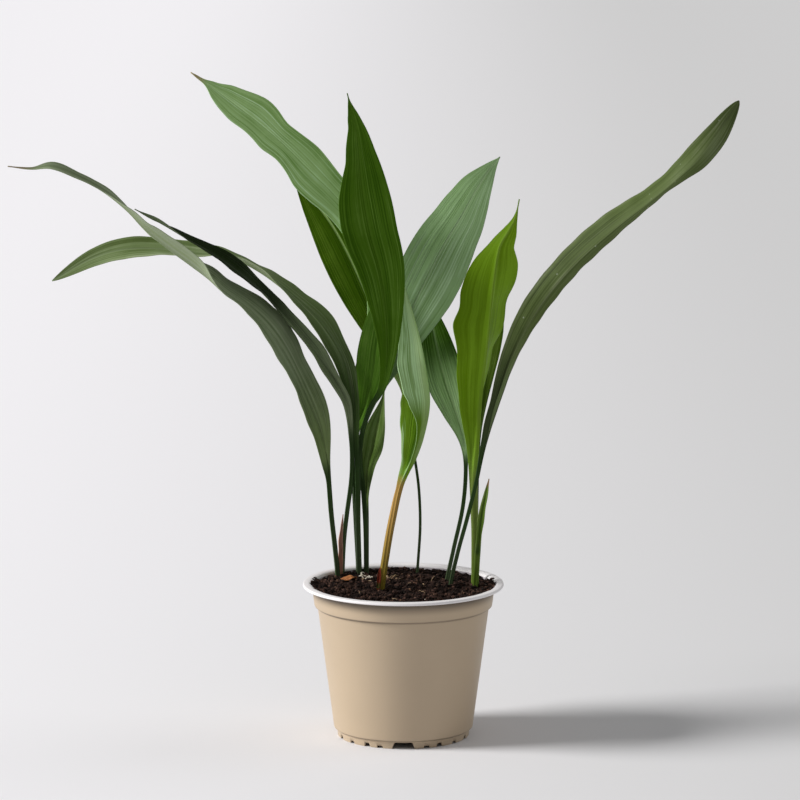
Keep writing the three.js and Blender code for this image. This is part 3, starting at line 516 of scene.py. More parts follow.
def leaf_mesh(name, leaf):
    """A stalk and its blade as one closed mesh, with its place on the leaf kept for the material."""
    x, y, z, *turn = leaf["route"][0]
    midrib = Midrib([(x, y, z - BURIED, *turn), *leaf["route"]])
    total = midrib.lengths[-1] - BURIED
    count = max(12, round((total + BURIED) / STATION_STEP))
    length = np.linspace(-BURIED, total, count)
    centre, along, roll = midrib.at(length + BURIED)
    facing = unit(FRONT - (along @ FRONT)[:, None] * along)
    side = np.cross(along, facing)
    cos, sin = np.cos(roll)[:, None], np.sin(roll)[:, None]
    normal, right = facing * cos + side * sin, side * cos - facing * sin
    opened = smooth((length - leaf["start"]) / (leaf["widest"] - leaf["start"]))
    ended = smooth((length - leaf["widest"]) / (total - leaf["widest"]))
    thinned = smooth(opened * THINS_SOONER)
    rib = between(leaf["stalk"] * STALK_DEPTH_RATIO, between(BLADE_RIB, BLADE_EDGE, ended), opened)
    edge = between(min(leaf["stalk"], STALK_EDGE), BLADE_EDGE, thinned)
    fold = np.radians(between(*leaf["fold"], opened))
    first, loss = fold * FOLD_AT_RIB, fold * (FOLD_AT_RIB - FOLD_AT_MARGIN)
    phases = RANDOM.uniform(0, 2 * math.pi, 8)
    upper, lower, place, spread = [], [], [], []
    columns = [-u for u in reversed(HALF_COLUMNS)] + [0] + HALF_COLUMNS
    for u in columns:
        hand, s = (1 if u > 0 else -1 if u < 0 else 0), abs(u)
        width = outline(leaf, "right" if u > 0 else "left", length, total)
        across = width * (np.sin(first) - np.sin(first - loss * s)) / loss
        up = width * (np.cos(first - loss * s) - np.cos(first)) / loss
        full = width * (np.cos(first - loss) - np.cos(first)) / loss
        angle = ((first - loss * s) * smooth(s / FACE_TURN) * hand)[:, None]
        face = normal * np.cos(angle) - right * np.sin(angle)
        wave = waviness(leaf, length, s, hand, phases) * np.clip(width / leaf["half"] - CALM_WIDTH, 0, 1)
        wave -= RIB_GROOVE * np.exp(-((s * width / RIB_GROOVE_REACH) ** 2)) * opened * (1 - ended)
        filled = STALK_FILL * (1 - thinned) * (full - up)
        wave += filled
        thick = between(edge, rib, np.exp(-((s * width / RIB_REACH) ** 2))) + filled
        point = centre + right * (hand * across)[:, None] + normal * up[:, None]
        upper.append(point + face * wave[:, None])
        lower.append(point + face * (wave - thick)[:, None])
        place.append(np.stack([np.full(count, u), np.maximum(length, 0) / total, np.ones(count)], 1))
        spread.append(np.stack([hand * across, length, opened], 1))
    place, spread = np.stack(place, 1), np.stack(spread, 1)
    index = np.arange(count * 2 * len(columns)).reshape(count, 2, len(columns))
    coords = np.stack([np.stack(upper, 1), np.stack(lower, 1)], 1).reshape(-1, 3)
    piece = new_piece(name + "_fine", coords, sheet_faces(index[:, 0], index[:, 1]))
    keep(piece, "leaf_place", np.stack([place, place * [1, 1, -1]], 1))
    keep(piece, "leaf_spread", np.stack([spread, spread], 1))
    return piece


# Materials ----------------------------------------
class Look:
    """A node material with a Principled shader, and short ways to add what feeds it."""

    def __init__(self, name):
        self.material = bpy.data.materials.new(name)
        self.material.use_nodes = True
        self.tree = self.material.node_tree
        self.shader = self.tree.nodes["Principled BSDF"]

    def put(self, socket, value):
        if isinstance(value, bpy.types.NodeSocket):
            self.tree.links.new(value, socket)
        elif isinstance(value, (tuple, list)) and len(value) == 3 and len(socket.default_value) == 4:
            socket.default_value = (*value, 1)
        else:
            socket.default_value = value

    def set(self, **values):
        for name, value in values.items():
            self.put(self.shader.inputs[name.replace("_", " ")], value)

    def math(self, operation, a, b=0.0):
        node = self.tree.nodes.new("ShaderNodeMath")
        node.operation = operation
        self.put(node.inputs[0], a)
        self.put(node.inputs[1], b)
        return node.outputs[0]

    def times(self, a, b):
        return self.math("MULTIPLY", a, b)

    def plus(self, a, b):
        return self.math("ADD", a, b)

    def weighed(self, *pairs):
        """The sum of values, each times its weight."""
        parts = [self.times(value, weight) for value, weight in pairs]
        total = parts[0]
        for part in parts[1:]:
            total = self.plus(total, part)
        return total

    def mix(self, share, a, b):
        node = self.tree.nodes.new("ShaderNodeMix")
        node.data_type = "RGBA"
        self.put(node.inputs[0], share)
        self.put(node.inputs[6], a)
        self.put(node.inputs[7], b)
        return node.outputs[2]

    def split(self, vector):
        node = self.tree.nodes.new("ShaderNodeSeparateXYZ")
        self.put(node.inputs[0], vector)
        return node.outputs

    def attribute(self, name):
        node = self.tree.nodes.new("ShaderNodeAttribute")
        node.attribute_name = name
        return self.split(node.outputs["Vector"])

    def vector(self, x, y, z):
        node = self.tree.nodes.new("ShaderNodeCombineXYZ")
        for socket, value in zip(node.inputs, (x, y, z)):
            self.put(socket, value)
        return node.outputs[0]

    def noise(self, vector, scale=1.0, detail=2.0, roughness=0.5):
        node = self.tree.nodes.new("ShaderNodeTexNoise")
        self.put(node.inputs["Vector"], vector)
        for key, value in (("Scale", scale), ("Detail", detail), ("Roughness", roughness)):
            node.inputs[key].default_value = value
        return node.outputs[0]

    def ramp(self, value, low, high):
        """value from low to high as 0 to 1, smoothly."""
        node = self.tree.nodes.new("ShaderNodeMapRange")
        node.interpolation_type = "SMOOTHSTEP"
        self.put(node.inputs[0], value)
        node.inputs[1].default_value = low
        node.inputs[2].default_value = high
        return node.outputs[0]

    def place(self):
        return self.tree.nodes.new("ShaderNodeTexCoord").outputs["Object"]

    def grain(self, *sizes):
        return self.noise(self.place(), *sizes)

    def bump(self, height, strength, distance):
        node = self.tree.nodes.new("ShaderNodeBump")
        node.inputs["Strength"].default_value = strength
        node.inputs["Distance"].default_value = distance
        self.put(node.inputs["Height"], height)
        self.put(self.shader.inputs["Normal"], node.outputs[0])


def leaf_look(name, tones, half, seed):
    """Streaks and veins along the blade, its rib, a lighter or darker foot, the stalk and a dry tip."""
    look = Look(name + "_look")
    times, plus, ramp, mix = look.times, look.plus, look.ramp, look.mix
    u, along, face = look.attribute("leaf_place")
    across, length, opened = look.attribute("leaf_spread")

    def streaks(number, reach, shift, detail):
        return look.noise(look.vector(times(u, number), times(along, reach), seed + shift), 1, detail, 0.55)

    bands, lines, fibres, patches, threads, breaks = (streaks(*row) for row in STREAKS.values())
    drift = times(plus(bands, -0.5), VEIN_DRIFT)
    turn = plus(times(u, half / VEIN_SPACING), drift)
    veins = times(look.math("SINE", times(turn, 2 * math.pi)), ramp(patches, *HALF_TONES))
    grain = look.grain(30, 3, 0.6)
    tone = look.weighed(
        (bands, 0.45), (lines, 0.35), (grain, 0.2), (plus(fibres, -0.5), 0.2), (veins, tones["veins"])
    )

    def palette(deep, mid, pale):
        return mix(ramp(tone, *PALE_TONES), mix(ramp(tone, *MID_TONES), deep, mid), pale)

    colour = palette(tones["deep"], tones["mid"], tones["pale"])
    # painted light and shade: the left half takes the far copy of the palette, set apart from the right half
    # for how light falls on it
    if tones["far"]:
        colour = mix(ramp(u, 0.02, -0.02), colour, palette(*tones["far"]))
    lower = mix(ramp(tone, *HALF_TONES), tones["under"], tones["pale"])
    colour = mix(ramp(face, 0.2, -0.2), colour, lower)
    foot = mix(ramp(tone, *HALF_TONES), tones["low"], tuple(min(1, c * FOOT_LIFT) for c in tones["low"]))
    colour = mix(ramp(along, *tones["reach"]), colour, foot)
    broken = times(ramp(breaks, *THREAD_BREAKS), tones["threads"])
    colour = mix(times(ramp(threads, *THREAD_PALE), broken), colour, tones["pale"])
    colour = mix(times(ramp(threads, *THREAD_DEEP), broken), colour, tones["deep"])
    ribbed = times(ramp(look.math("ABSOLUTE", across), *RIB_REACHES), ramp(opened, *RIB_OPENS))
    colour = mix(times(ribbed, tones["rib_share"]), colour, tones["rib"])
    colour = mix(times(ramp(look.math("ABSOLUTE", u), *MARGIN), MARGIN_SHARE), colour, tones["pale"])
    stalk = mix(ramp(length, *STALK_TONES), *tones["stalk"])
    stalk = mix(times(ramp(lines, *STALK_STREAKS), 0.4), stalk, tones["stalk"][0])
    colour = mix(ramp(opened, *STALK_ENDS), colour, stalk)
    # painted shade: dim darkens a stretch of the right half of the blade
    if tones["dim"]:
        start, end, share = tones["dim"]
        painted_shade_mask = times(ramp(along, start, end), ramp(u, -0.05, 0.05))
        colour = mix(times(painted_shade_mask, share), colour, tuple(0.4 * c for c in tones["deep"]))
    if tones["dry"]:
        worn = plus(along, times(plus(lines, -0.5), 0.06))
        colour = mix(ramp(worn, 1 - tones["dry"], 1 - tones["dry"] * 0.4), colour, tones["tip"])
    if tones["specks"]:
        cells = look.tree.nodes.new("ShaderNodeTexVoronoi")
        cells.inputs["Scale"].default_value = 160
        look.put(cells.inputs["Vector"], look.place())
        rare = ramp(look.grain(60, 1), *SPECK_PATCHES)
        speck = times(ramp(cells.outputs["Distance"], *SPECK_SIZE), rare)
        colour = mix(times(speck, tones["specks"]), colour, SPECK_COLOUR)
    rough = plus(tones["roughness"] - 0.06, times(lines, 0.12))
    look.set(Base_Color=colour, Roughness=rough, Specular_IOR_Level=LEAF_SHINE)
    height = look.weighed((lines, 0.5), (veins, VEIN_RELIEF * tones["veins"]), (fibres, 0.3))
    look.bump(times(height, ramp(opened, 0.02, 0.4)), 0.5, 0.0009)
    return look.material


def dress(piece, material, node=None):
    """The piece with its material, on the body, standing for the node if there is one."""
    piece.data.materials.append(material)
    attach(piece, "root")
    if node:
        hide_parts(node)
    return piece


for number, (node, leaf) in enumerate(LEAVES.items()):
    look = leaf_look(node, {**GREEN, **TONES[node]}, leaf["half"], number * LOOK_SHIFT)
    dress(leaf_mesh(node, leaf), look, node)


# Pot ----------------------------------------------
POT_HEIGHT = 116
RIM_RADIUS = 75
RIM_THICKNESS = 2.2
RIM_INNER_RADIUS = 69
COLLAR_TOP = (68, 112)
COLLAR_FOOT = (66.5, 98.5)
COLLAR_STEP = 1.8
BODY_TOP_RADIUS = 64
BODY_FOOT_RADIUS = 51.9
WALL = 1.4
SKIRT_HEIGHT = 5.5
SKIRT_TOP_RADIUS = 49.6
SKIRT_FOOT_RADIUS = 49
FLOOR = 1.6
PAD_RADIUS = 14
PAD_SLOPE = 4
PAD_CLEARANCE = 1.5
POT_SECTORS = 288
# Notches in the skirt: (degrees from the front or the back, width at the top and at the foot, height).
NOTCHES = [(20.7, 3.6, 4.4, 1.9), (33, 2.8, 5.2, 3), (50.4, 3.6, 4.4, 1.9), (68.6, 2.8, 5.2, 3)]
WIDE_NOTCH = (12.5, 17, 5)
LOW_NOTCH = (3, 3.7, 1.5)
NOTCH_DEPTHS = (SKIRT_FOOT_RADIUS - 5, SKIRT_FOOT_RADIUS + 4)
DRAIN_COUNT = 6
DRAIN_RADIUS = 4.5
DRAIN_CIRCLE = 33
DRAIN_SIDES = 32
# Painted shade round the pot: dark bands under the lip, under the collar step and at the top of the skirt, as
# (foot, top, softness, strength).
CREASE_SHADE_BANDS = [(103, 123.4, 10.2, 0.85), (96.9, 100.0, 1.5, 0.6), (4.9, 7.1, 1.0, 0.4)]
CREASE_SHADE_COLOUR = (0.03, 0.02, 0.012)


def body_radius(z):
    return between(BODY_FOOT_RADIUS, BODY_TOP_RADIUS, (z - SKIRT_HEIGHT) / (COLLAR_FOOT[1] - SKIRT_HEIGHT))


def collar_radius(z):
    return between(COLLAR_FOOT[0], COLLAR_TOP[0], (z - COLLAR_FOOT[1]) / (COLLAR_TOP[1] - COLLAR_FOOT[1]))


def rounded(profile):
    """The profile's points (radius, z, rounding) with each corner that has a rounding turned into an arc."""
    points = []
    for i, (r, z, rounding) in enumerate(profile):
        if not rounding or i in (0, len(profile) - 1):
            points.append((r, z))
            continue
        here = np.array([r, z])
        before, after = (np.array(profile[k][:2]) - here for k in (i - 1, i + 1))
        cut = min(rounding, 0.45 * np.linalg.norm(before), 0.45 * np.linalg.norm(after))
        start, end = here + unit(before) * cut, here + unit(after) * cut
        for share in (0, 0.25, 0.5, 0.75, 1):
            points.append(tuple(between(between(start, here, share), between(here, end, share), share)))
    return points


def lathe_faces(rows, sectors):
    """Faces round rows of points, which are closed by the points 0 and 1 at the first and the last row."""
    rings = 2 + np.arange(rows * sectors).reshape(rows, sectors)
    after = np.roll(rings, -1, axis=1)
    faces = quads(rings[:-1], after[:-1], after[1:], rings[1:])
    faces += [(0, b, a) for a, b in zip(rings[0], after[0])]
    return faces + [(1, a, b) for a, b in zip(rings[-1], after[-1])]


def lathe(name, points, sectors):
    """A closed mesh of revolution of a profile that starts and ends on the axis."""
    coords = [(0, 0, points[0][1]), (0, 0, points[-1][1])]
    for r, z in points[1:-1]:
        coords += [(r * math.cos(t), r * math.sin(t), z) for t in full_turn(sectors)]
    return new_piece(name, coords, lathe_faces(len(points) - 2, sectors))


def prism(first, second):
    """A solid between two outlines with as many points."""
    n = len(first)
    faces = [tuple(range(n - 1, -1, -1)), tuple(range(n, 2 * n))]
    faces += [(i, (i + 1) % n, (i + 1) % n + n, i + n) for i in range(n)]
    return first + second, faces


def notch(top, foot, height, angle):
    """The cutter of a notch in the skirt, at an angle in degrees."""
    right = [(foot / 2, -1), (foot / 2, 0), (top / 2 + 0.4, height - 0.4), (top / 2 - 0.3, height)]
    corners = right + [(-across, z) for across, z in reversed(right)]
    cos, sin = math.cos(math.radians(angle)), math.sin(math.radians(angle))
    return prism(*(
        [(across * cos + d * sin, across * sin - d * cos, z) for across, z in corners] for d in NOTCH_DEPTHS
    ))


def drain(turn):
    """The cutter of a drain hole, at an angle in radians."""
    x, y = DRAIN_CIRCLE * math.sin(turn), DRAIN_CIRCLE * math.cos(turn)
    ring = [(x + DRAIN_RADIUS * math.cos(a), y + DRAIN_RADIUS * math.sin(a)) for a in full_turn(DRAIN_SIDES)]
    return prism(*([(*point, z) for point in ring] for z in (SKIRT_HEIGHT - 2, SKIRT_HEIGHT + FLOOR + 2)))


def cutter_piece():
    cutters = [
        notch(*sizes, front + side * angle)
        for front, side in ((0, 1), (0, -1), (180, 1), (180, -1)) for angle, *sizes in NOTCHES
    ]
    cutters += [notch(*WIDE_NOTCH, angle) for angle in (0, 180)]
    cutters += [notch(*LOW_NOTCH, angle) for angle in (90, 270)]
    cutters += [drain(turn) for turn in full_turn(DRAIN_COUNT)]
    return new_piece("pot_cutter", *joined(cutters), smoothed=False)


def make_pot():
    lip_foot = POT_HEIGHT - RIM_THICKNESS
    floor_top = SKIRT_HEIGHT + FLOOR
    shoulder = COLLAR_FOOT[1] - WALL
    profile = [
        (0, PAD_CLEARANCE, 0), (PAD_RADIUS, PAD_CLEARANCE, 0.8), (PAD_RADIUS + PAD_SLOPE, SKIRT_HEIGHT, 1),
        (SKIRT_TOP_RADIUS - WALL, SKIRT_HEIGHT, 0.6), (SKIRT_FOOT_RADIUS - WALL, 0, 0.4),
        (SKIRT_FOOT_RADIUS, 0, 0.5), (SKIRT_TOP_RADIUS, SKIRT_HEIGHT - 0.5, 0.6),
        (SKIRT_TOP_RADIUS + 0.7, SKIRT_HEIGHT, 0.4), (BODY_FOOT_RADIUS, SKIRT_HEIGHT + 1, 1.2),
        (BODY_TOP_RADIUS, COLLAR_FOOT[1] - 0.3, 0.7), (COLLAR_FOOT[0] - 0.2, COLLAR_FOOT[1] + 0.4, 0.8),
        (COLLAR_TOP[0], COLLAR_TOP[1], 0.8), (RIM_INNER_RADIUS + 0.6, lip_foot, 0.5),
        (RIM_RADIUS - 0.7, lip_foot - 0.3, 0.3), (RIM_RADIUS, lip_foot + 0.2, 0.5),
        (RIM_RADIUS - 0.3, POT_HEIGHT - 0.3, 0.9), (RIM_INNER_RADIUS + 1.5, POT_HEIGHT, 1.4),
        (RIM_INNER_RADIUS - 1.2, POT_HEIGHT - 1, 1.4), (COLLAR_TOP[0] - WALL, COLLAR_TOP[1] - 1, 1),
        (COLLAR_FOOT[0] - WALL, COLLAR_FOOT[1] + WALL, 1), (body_radius(shoulder) - WALL, shoulder, 1),
        (body_radius(floor_top) - WALL, floor_top, 1), (PAD_RADIUS + PAD_SLOPE, floor_top, 1),
        (PAD_RADIUS, PAD_CLEARANCE + FLOOR, 1), (0, PAD_CLEARANCE + FLOOR, 0),
    ]
    pot = lathe("pot_fine", rounded(profile), POT_SECTORS)
    cutter = cutter_piece()
    cut = pot.modifiers.new("cut", "BOOLEAN")
    cut.operation = "DIFFERENCE"
    cut.solver = "EXACT"
    cut.object = cutter
    bpy.context.view_layer.update()
    depsgraph = bpy.context.evaluated_depsgraph_get()
    shape = bpy.data.meshes.new_from_object(pot.evaluated_get(depsgraph))
    shape.materials.clear()
    pot.modifiers.clear()
    pot.data = shape
    bpy.data.objects.remove(cutter)
    return pot


def plastic(name, colour, dusk, roughness, paints_crease_shade=False):
    """Moulded plastic with faint clouding, scuffs and a fine grain. lined paints shade into the creases round
    the pot as dark bands.
    """
    look = Look(name)
    clouds = look.grain(14, 3, 0.5)
    grain = look.grain(900, 3, 0.6)
    scuffs = look.grain(130, 4, 0.7)
    colour = look.mix(look.times(look.ramp(clouds, 0.3, 0.7), 0.35), colour, dusk)
    colour = look.mix(look.times(look.ramp(scuffs, 0.62, 0.75), 0.12), colour, dusk)
    if paints_crease_shade:
        # painted shade: dark bands by height, where the lip, the collar step and the skirt top shade the wall
        height = look.split(look.place())[2]
        for low, high, soft, share in CREASE_SHADE_BANDS:
            above = look.ramp(height, low * MM, (low + soft) * MM)
            below = look.ramp(height, high * MM, (high - soft) * MM)
            colour = look.mix(look.times(look.times(above, below), share), colour, CREASE_SHADE_COLOUR)
    look.set(Base_Color=colour, Roughness=look.plus(roughness, look.times(scuffs, 0.12)))
    look.bump(look.plus(grain, look.times(clouds, 0.6)), 0.12, 0.0003)
    return look.material


def part_colours(pot):
    """Gives the lip the white plastic and the inside of the pot a darker copy of it, which is painted shade."""
    for polygon in pot.data.polygons:
        centre = polygon.center / MM
        out = math.hypot(centre.x, centre.y)
        step = min(1, max(0, (centre.z - COLLAR_FOOT[1]) / COLLAR_STEP + 0.5))
        outside = between(body_radius(centre.z), collar_radius(centre.z), step)
        inside = centre.z > SKIRT_HEIGHT + FLOOR / 2 and out < outside - WALL / 2
        on_lip = centre.z > POT_HEIGHT - RIM_THICKNESS - 0.5 and out > COLLAR_TOP[0] - WALL + 0.3
        polygon.material_index = 1 if on_lip else 2 if inside else 0
        polygon.use_smooth = True


# the tan body gets the painted shade bands in its creases
pot_tan = plastic("pot_tan", (0.50, 0.392, 0.27), (0.43, 0.332, 0.226), 0.42, paints_crease_shade=True)
pot = dress(make_pot(), pot_tan, "pot")
pot.data.materials.append(plastic("pot_white", (0.86, 0.83, 0.84), (0.76, 0.73, 0.73), 0.35))
# the inside is the white plastic painted darker: painted shade inside the pot
pot.data.materials.append(plastic("pot_inside_painted_shade", (0.46, 0.42, 0.445), (0.38, 0.345, 0.365), 0.45))
part_colours(pot)


# Soil ---------------------------------------------
GAP = 0.35
SIDE_GAP = GAP + 0.5
SOIL_EDGE_HEIGHT = 112.0
SOIL_MOUND = 1.4
SOIL_BUMPS = [(0.55, 0.31, 0.27, 1.3), (0.55, 0.31, -0.27, 1.3), (0.66, 0.13, -0.47, 0.7)]
SOIL_RINGS = 100
SOIL_SECTORS = 300
SOIL_REACH = COLLAR_TOP[0] - WALL + 0.35
SOIL_SHOULDERS = (110, 97)
SOIL_FOOT = SKIRT_HEIGHT + FLOOR + 1
SOIL_ROUGHNESS = 0.28
LUMPS = 420
LUMP_SIZES = (1.5, 5)
LUMP_RISES = (0.3, 1.5)
WALL_INSIDE = COLLAR_TOP[0] - WALL - 0.4
CRUMB_JITTER = 0.18
CRUMB_STRETCH = (-0.2, 0.4)
CRUMB_TILT = 0.5
SMALL_CRUMBS = 2.2  # the higher, the more of them are small
FULL_ARC = (0, 2 * math.pi)
EDGE_ARC = (math.pi - 0.3, 2 * math.pi + 0.3)
WHITE_SPECKS = [(53.2, -3.5, 2.1), (61, 1.9, 1.8), (-49.9, 31.2, 1.6)]


def soil_height(x, y):
    out = np.hypot(x, y) / RIM_INNER_RADIUS
    bumps = sum(h * np.sin(x * a + y * b + c) for h, a, b, c in SOIL_BUMPS)
    return SOIL_EDGE_HEIGHT + SOIL_MOUND * (1 - out * out) + bumps * smooth(4 * (1 - out))


def make_soil():
    """The soil's body with a top of many rounded lumps."""
    turn = full_turn(SOIL_SECTORS)
    rings = np.linspace(0, SOIL_REACH, SOIL_RINGS + 1)[1:]
    x, y = np.outer(rings, np.cos(turn)), np.outer(rings, np.sin(turn))
    z = soil_height(x, y)
    for _ in range(LUMPS):
        r, t = SOIL_REACH * math.sqrt(RANDOM.random()), RANDOM.uniform(0, 2 * math.pi)
        size, rise = RANDOM.uniform(*LUMP_SIZES), RANDOM.uniform(*LUMP_RISES)
        near = 1 - ((x - r * math.cos(t)) ** 2 + (y - r * math.sin(t)) ** 2) / size**2
        z = z + rise * np.sqrt(np.clip(near, 0, 1)) - rise * 0.35 * (near > -0.5)
    z += RANDOM.normal(0, SOIL_ROUGHNESS, z.shape)
    z[-1] = SOIL_EDGE_HEIGHT - 0.8
    high, low = SOIL_SHOULDERS
    sides = [
        (collar_radius(high) - WALL - GAP, high),
        (COLLAR_FOOT[0] - WALL - SIDE_GAP, COLLAR_FOOT[1] + WALL + GAP),
        (body_radius(low) - WALL - SIDE_GAP, low),
        (body_radius(SOIL_FOOT) - WALL - SIDE_GAP, SOIL_FOOT),
    ]
    coords = [(0, 0, float(soil_height(0, 0))), (0, 0, SOIL_FOOT), *np.stack([x, y, z], -1).reshape(-1, 3)]
    for r, height in sides:
        coords += [(r * math.cos(t), r * math.sin(t), height) for t in turn]
    faces = lathe_faces(SOIL_RINGS + len(sides), SOIL_SECTORS)
    return new_piece("soil_fine", coords, [face[:1] + face[:0:-1] for face in faces])


def ico_points():
    """The 12 corners and 20 faces of an icosahedron."""
    g = (1 + 5**0.5) / 2
    corners = np.array([
        (-1, g, 0), (1, g, 0), (-1, -g, 0), (1, -g, 0), (0, -1, g), (0, 1, g),
        (0, -1, -g), (0, 1, -g), (g, 0, -1), (g, 0, 1), (-g, 0, -1), (-g, 0, 1),
    ]) / math.hypot(1, g)
    faces = [
        (0, 11, 5), (0, 5, 1), (0, 1, 7), (0, 7, 10), (0, 10, 11), (1, 5, 9), (5, 11, 4), (11, 10, 2),
        (10, 7, 6), (7, 1, 8), (3, 9, 4), (3, 4, 2), (3, 2, 6), (3, 6, 8), (3, 8, 9), (4, 9, 5),
        (2, 4, 11), (6, 2, 10), (8, 6, 7), (9, 8, 1),
    ]
    return corners, faces


def turned(x, y, angle):
    return x * math.cos(angle) - y * math.sin(angle), x * math.sin(angle) + y * math.cos(angle)


def crumbs(
    name, count, sizes, flat, sink, places=(), smoothed=False, reach=(0, WALL_INSIDE), lift=0, arc=FULL_ARC,
):
    """Small jittered lumps on the soil, as one piece: between two radii, and higher by lift at the outer one.

    places gives fixed (x, y, size) lumps, and arc the part of the turn that the others lie in.
    """
    corners, faces = ico_points()
    spots = list(places)
    for _ in range(count):
        r = math.sqrt(between(reach[0] ** 2, reach[1] ** 2, RANDOM.random()))
        t = RANDOM.uniform(*arc)
        spots.append((r * math.cos(t), r * math.sin(t), between(*sizes, RANDOM.random() ** SMALL_CRUMBS)))

    def crumb(x, y, size):
        shape = corners * (1 + RANDOM.normal(0, CRUMB_JITTER, (12, 1))) * size / 2
        i, j, k = (shape * [1 + RANDOM.uniform(*CRUMB_STRETCH), 1, flat]).T
        spin, lean = RANDOM.uniform(0, 2 * math.pi, 2)
        j, k = turned(j, k, CRUMB_TILT * math.sin(lean))
        i, j = turned(i, j, spin)
        raised = lift * (math.hypot(x, y) - reach[0]) / (reach[1] - reach[0]) + size * flat * (0.5 - sink)
        return np.stack([i + x, j + y, k + float(soil_height(x, y)) + raised], 1).tolist(), faces

    return new_piece(name, *joined(crumb(*spot) for spot in spots), smoothed)


def earth(name, dark, mid, light, scale=260):
    """Grains of three colours, with darker clods."""
    look = Look(name)
    grains = look.grain(scale, 4, 0.65)
    clods = look.grain(scale / 5, 3, 0.6)
    colour = look.mix(look.ramp(grains, 0.42, 0.6), dark, mid)
    colour = look.mix(look.times(look.ramp(grains, 0.6, 0.67), 0.85), colour, light)
    colour = look.mix(look.times(look.ramp(clods, 0.46, 0.56), 0.8), colour, dark)
    look.set(Base_Color=colour, Roughness=0.95, Specular_IOR_Level=0.15)
    look.bump(grains, 0.8, 0.0015)
    return look.material


DARK = earth("soil_dark", (0.008, 0.004, 0.003), (0.050, 0.025, 0.018), (0.25, 0.14, 0.085))
CLODS = earth("soil_clods", (0.018, 0.009, 0.006), (0.085, 0.043, 0.032), (0.24, 0.15, 0.11), 330)
BARK = earth("bark", (0.03, 0.013, 0.009), (0.10, 0.05, 0.033), (0.2, 0.12, 0.08))
PERLITE = earth("perlite", (0.4, 0.34, 0.28), (0.65, 0.6, 0.52), (0.8, 0.78, 0.72), 600)
dress(make_soil(), DARK, "soil")
dress(crumbs("soil_crumbs", 3200, (0.8, 3.8), 0.85, 0.2), DARK)
dress(crumbs("soil_clods", 900, (1.2, 4.6), 0.8, 0.25, smoothed=True), CLODS)
dress(crumbs("soil_bark", 260, (1.5, 5.0), 0.4, 0.3), BARK)
dress(crumbs("soil_perlite", 90, (0.5, 1.3), 0.8, 0.2, places=WHITE_SPECKS), PERLITE)
edge = crumbs("soil_edge", 1100, (1.0, 3.4), 0.85, 0.3, reach=(64.5, 69.2), lift=2.9, arc=EDGE_ARC)
dress(edge, DARK)


# Bits on the soil ---------------------------------
FIBRE_LIFT = 2.2
FIBRE_REACH = 54
FIBRE_SIDES = 6
FIBRE_STEP = 0.7
FIBRE_POINTS = 5
FIBRE_HEIGHTS = (-0.6, 1.0)
FIBRE_ENDS = -0.8
FIBRE_WANDER = 0.7
SCRAP_START = np.array([-45.5, 13.0])
SCRAP_END = np.array([-35.5, 21.0])
SCRAP_GRID = (26, 12)
SCRAP_HALF_WIDTH = 5.2
SCRAP_THICKNESS = 0.35
SCRAP_LIFT = 1.4
SCRAP_CURL = 1.2
SCRAP_RIPPLE = 0.12


def strand(name, paths, radius):
    """Thin fibres as one piece: each path is a list of (x, y, height over the soil)."""
    def fibre(path):
        line = Midrib([(x, y, float(soil_height(x, y)) + h + FIBRE_LIFT) for x, y, h in path])
        count = max(6, int(line.lengths[-1] / FIBRE_STEP))
        centre, along, _ = line.at(np.linspace(0, line.lengths[-1], count))
        one = unit(np.cross(along, [0.1, 0.2, 1]))
        two = np.cross(along, one)
        girth = (radius * (1 - 0.75 * np.linspace(-1, 1, count) ** 4))[:, None]
        sides = [centre + (one * math.cos(a) + two * math.sin(a)) * girth for a in full_turn(FIBRE_SIDES)]
        index = np.arange(FIBRE_SIDES * count).reshape(FIBRE_SIDES, count)
        after = np.roll(index, -1, axis=0)
        faces = quads(index[:, :-1], index[:, 1:], after[:, 1:], after[:, :-1])
        return np.concatenate(sides).tolist(), faces + [index[:, 0].tolist(), index[::-1, -1].tolist()]

    return new_piece(name, *joined(fibre(path) for path in paths))


def fibre_paths(count, centre, spread, length):
    """Wandering paths that start near a place on the soil."""
    paths = []
    for _ in range(count):
        x, y = centre[0] + RANDOM.normal(0, spread), centre[1] + RANDOM.normal(0, spread)
        inward = min(1, FIBRE_REACH / math.hypot(x, y))
        x, y = x * inward, y * inward
        heading = RANDOM.uniform(0, 2 * math.pi)
        path = []
        for k in range(FIBRE_POINTS):
            inner = 0 < k < FIBRE_POINTS - 1
            path.append((x, y, RANDOM.uniform(*FIBRE_HEIGHTS) if inner else FIBRE_ENDS))
            heading += RANDOM.normal(0, FIBRE_WANDER)
            x += length / (FIBRE_POINTS - 1) * math.cos(heading)
            y += length / (FIBRE_POINTS - 1) * math.sin(heading)
        paths.append(path)
    return paths


def make_scrap():
    """A dry, curled scrap of old leaf on the soil."""
    rows, columns = SCRAP_GRID
    run = SCRAP_END - SCRAP_START
    side = unit(np.array([-run[1], run[0]]))
    coords = []
    for thickness in (0, -SCRAP_THICKNESS):
        for i in range(rows):
            s = i / (rows - 1)
            wide = SCRAP_HALF_WIDTH * math.sin(math.pi * min(1, 0.12 + s * 0.86)) ** 0.6
            for j in range(columns):
                w = 2 * j / (columns - 1) - 1
                x, y = SCRAP_START + run * s + side * w * wide * (0.9 + 0.1 * math.sin(9 * s))
                curl = SCRAP_CURL * (w * w + math.sin(3.2 * s)) + SCRAP_RIPPLE * math.sin(14 * s + 3 * w)
                coords.append((x, y, soil_height(x, y) + SCRAP_LIFT + curl + thickness))
    top, bottom = np.arange(len(coords)).reshape(2, rows, columns)
    return new_piece("dry_scrap", coords, sheet_faces(top.T, bottom.T))


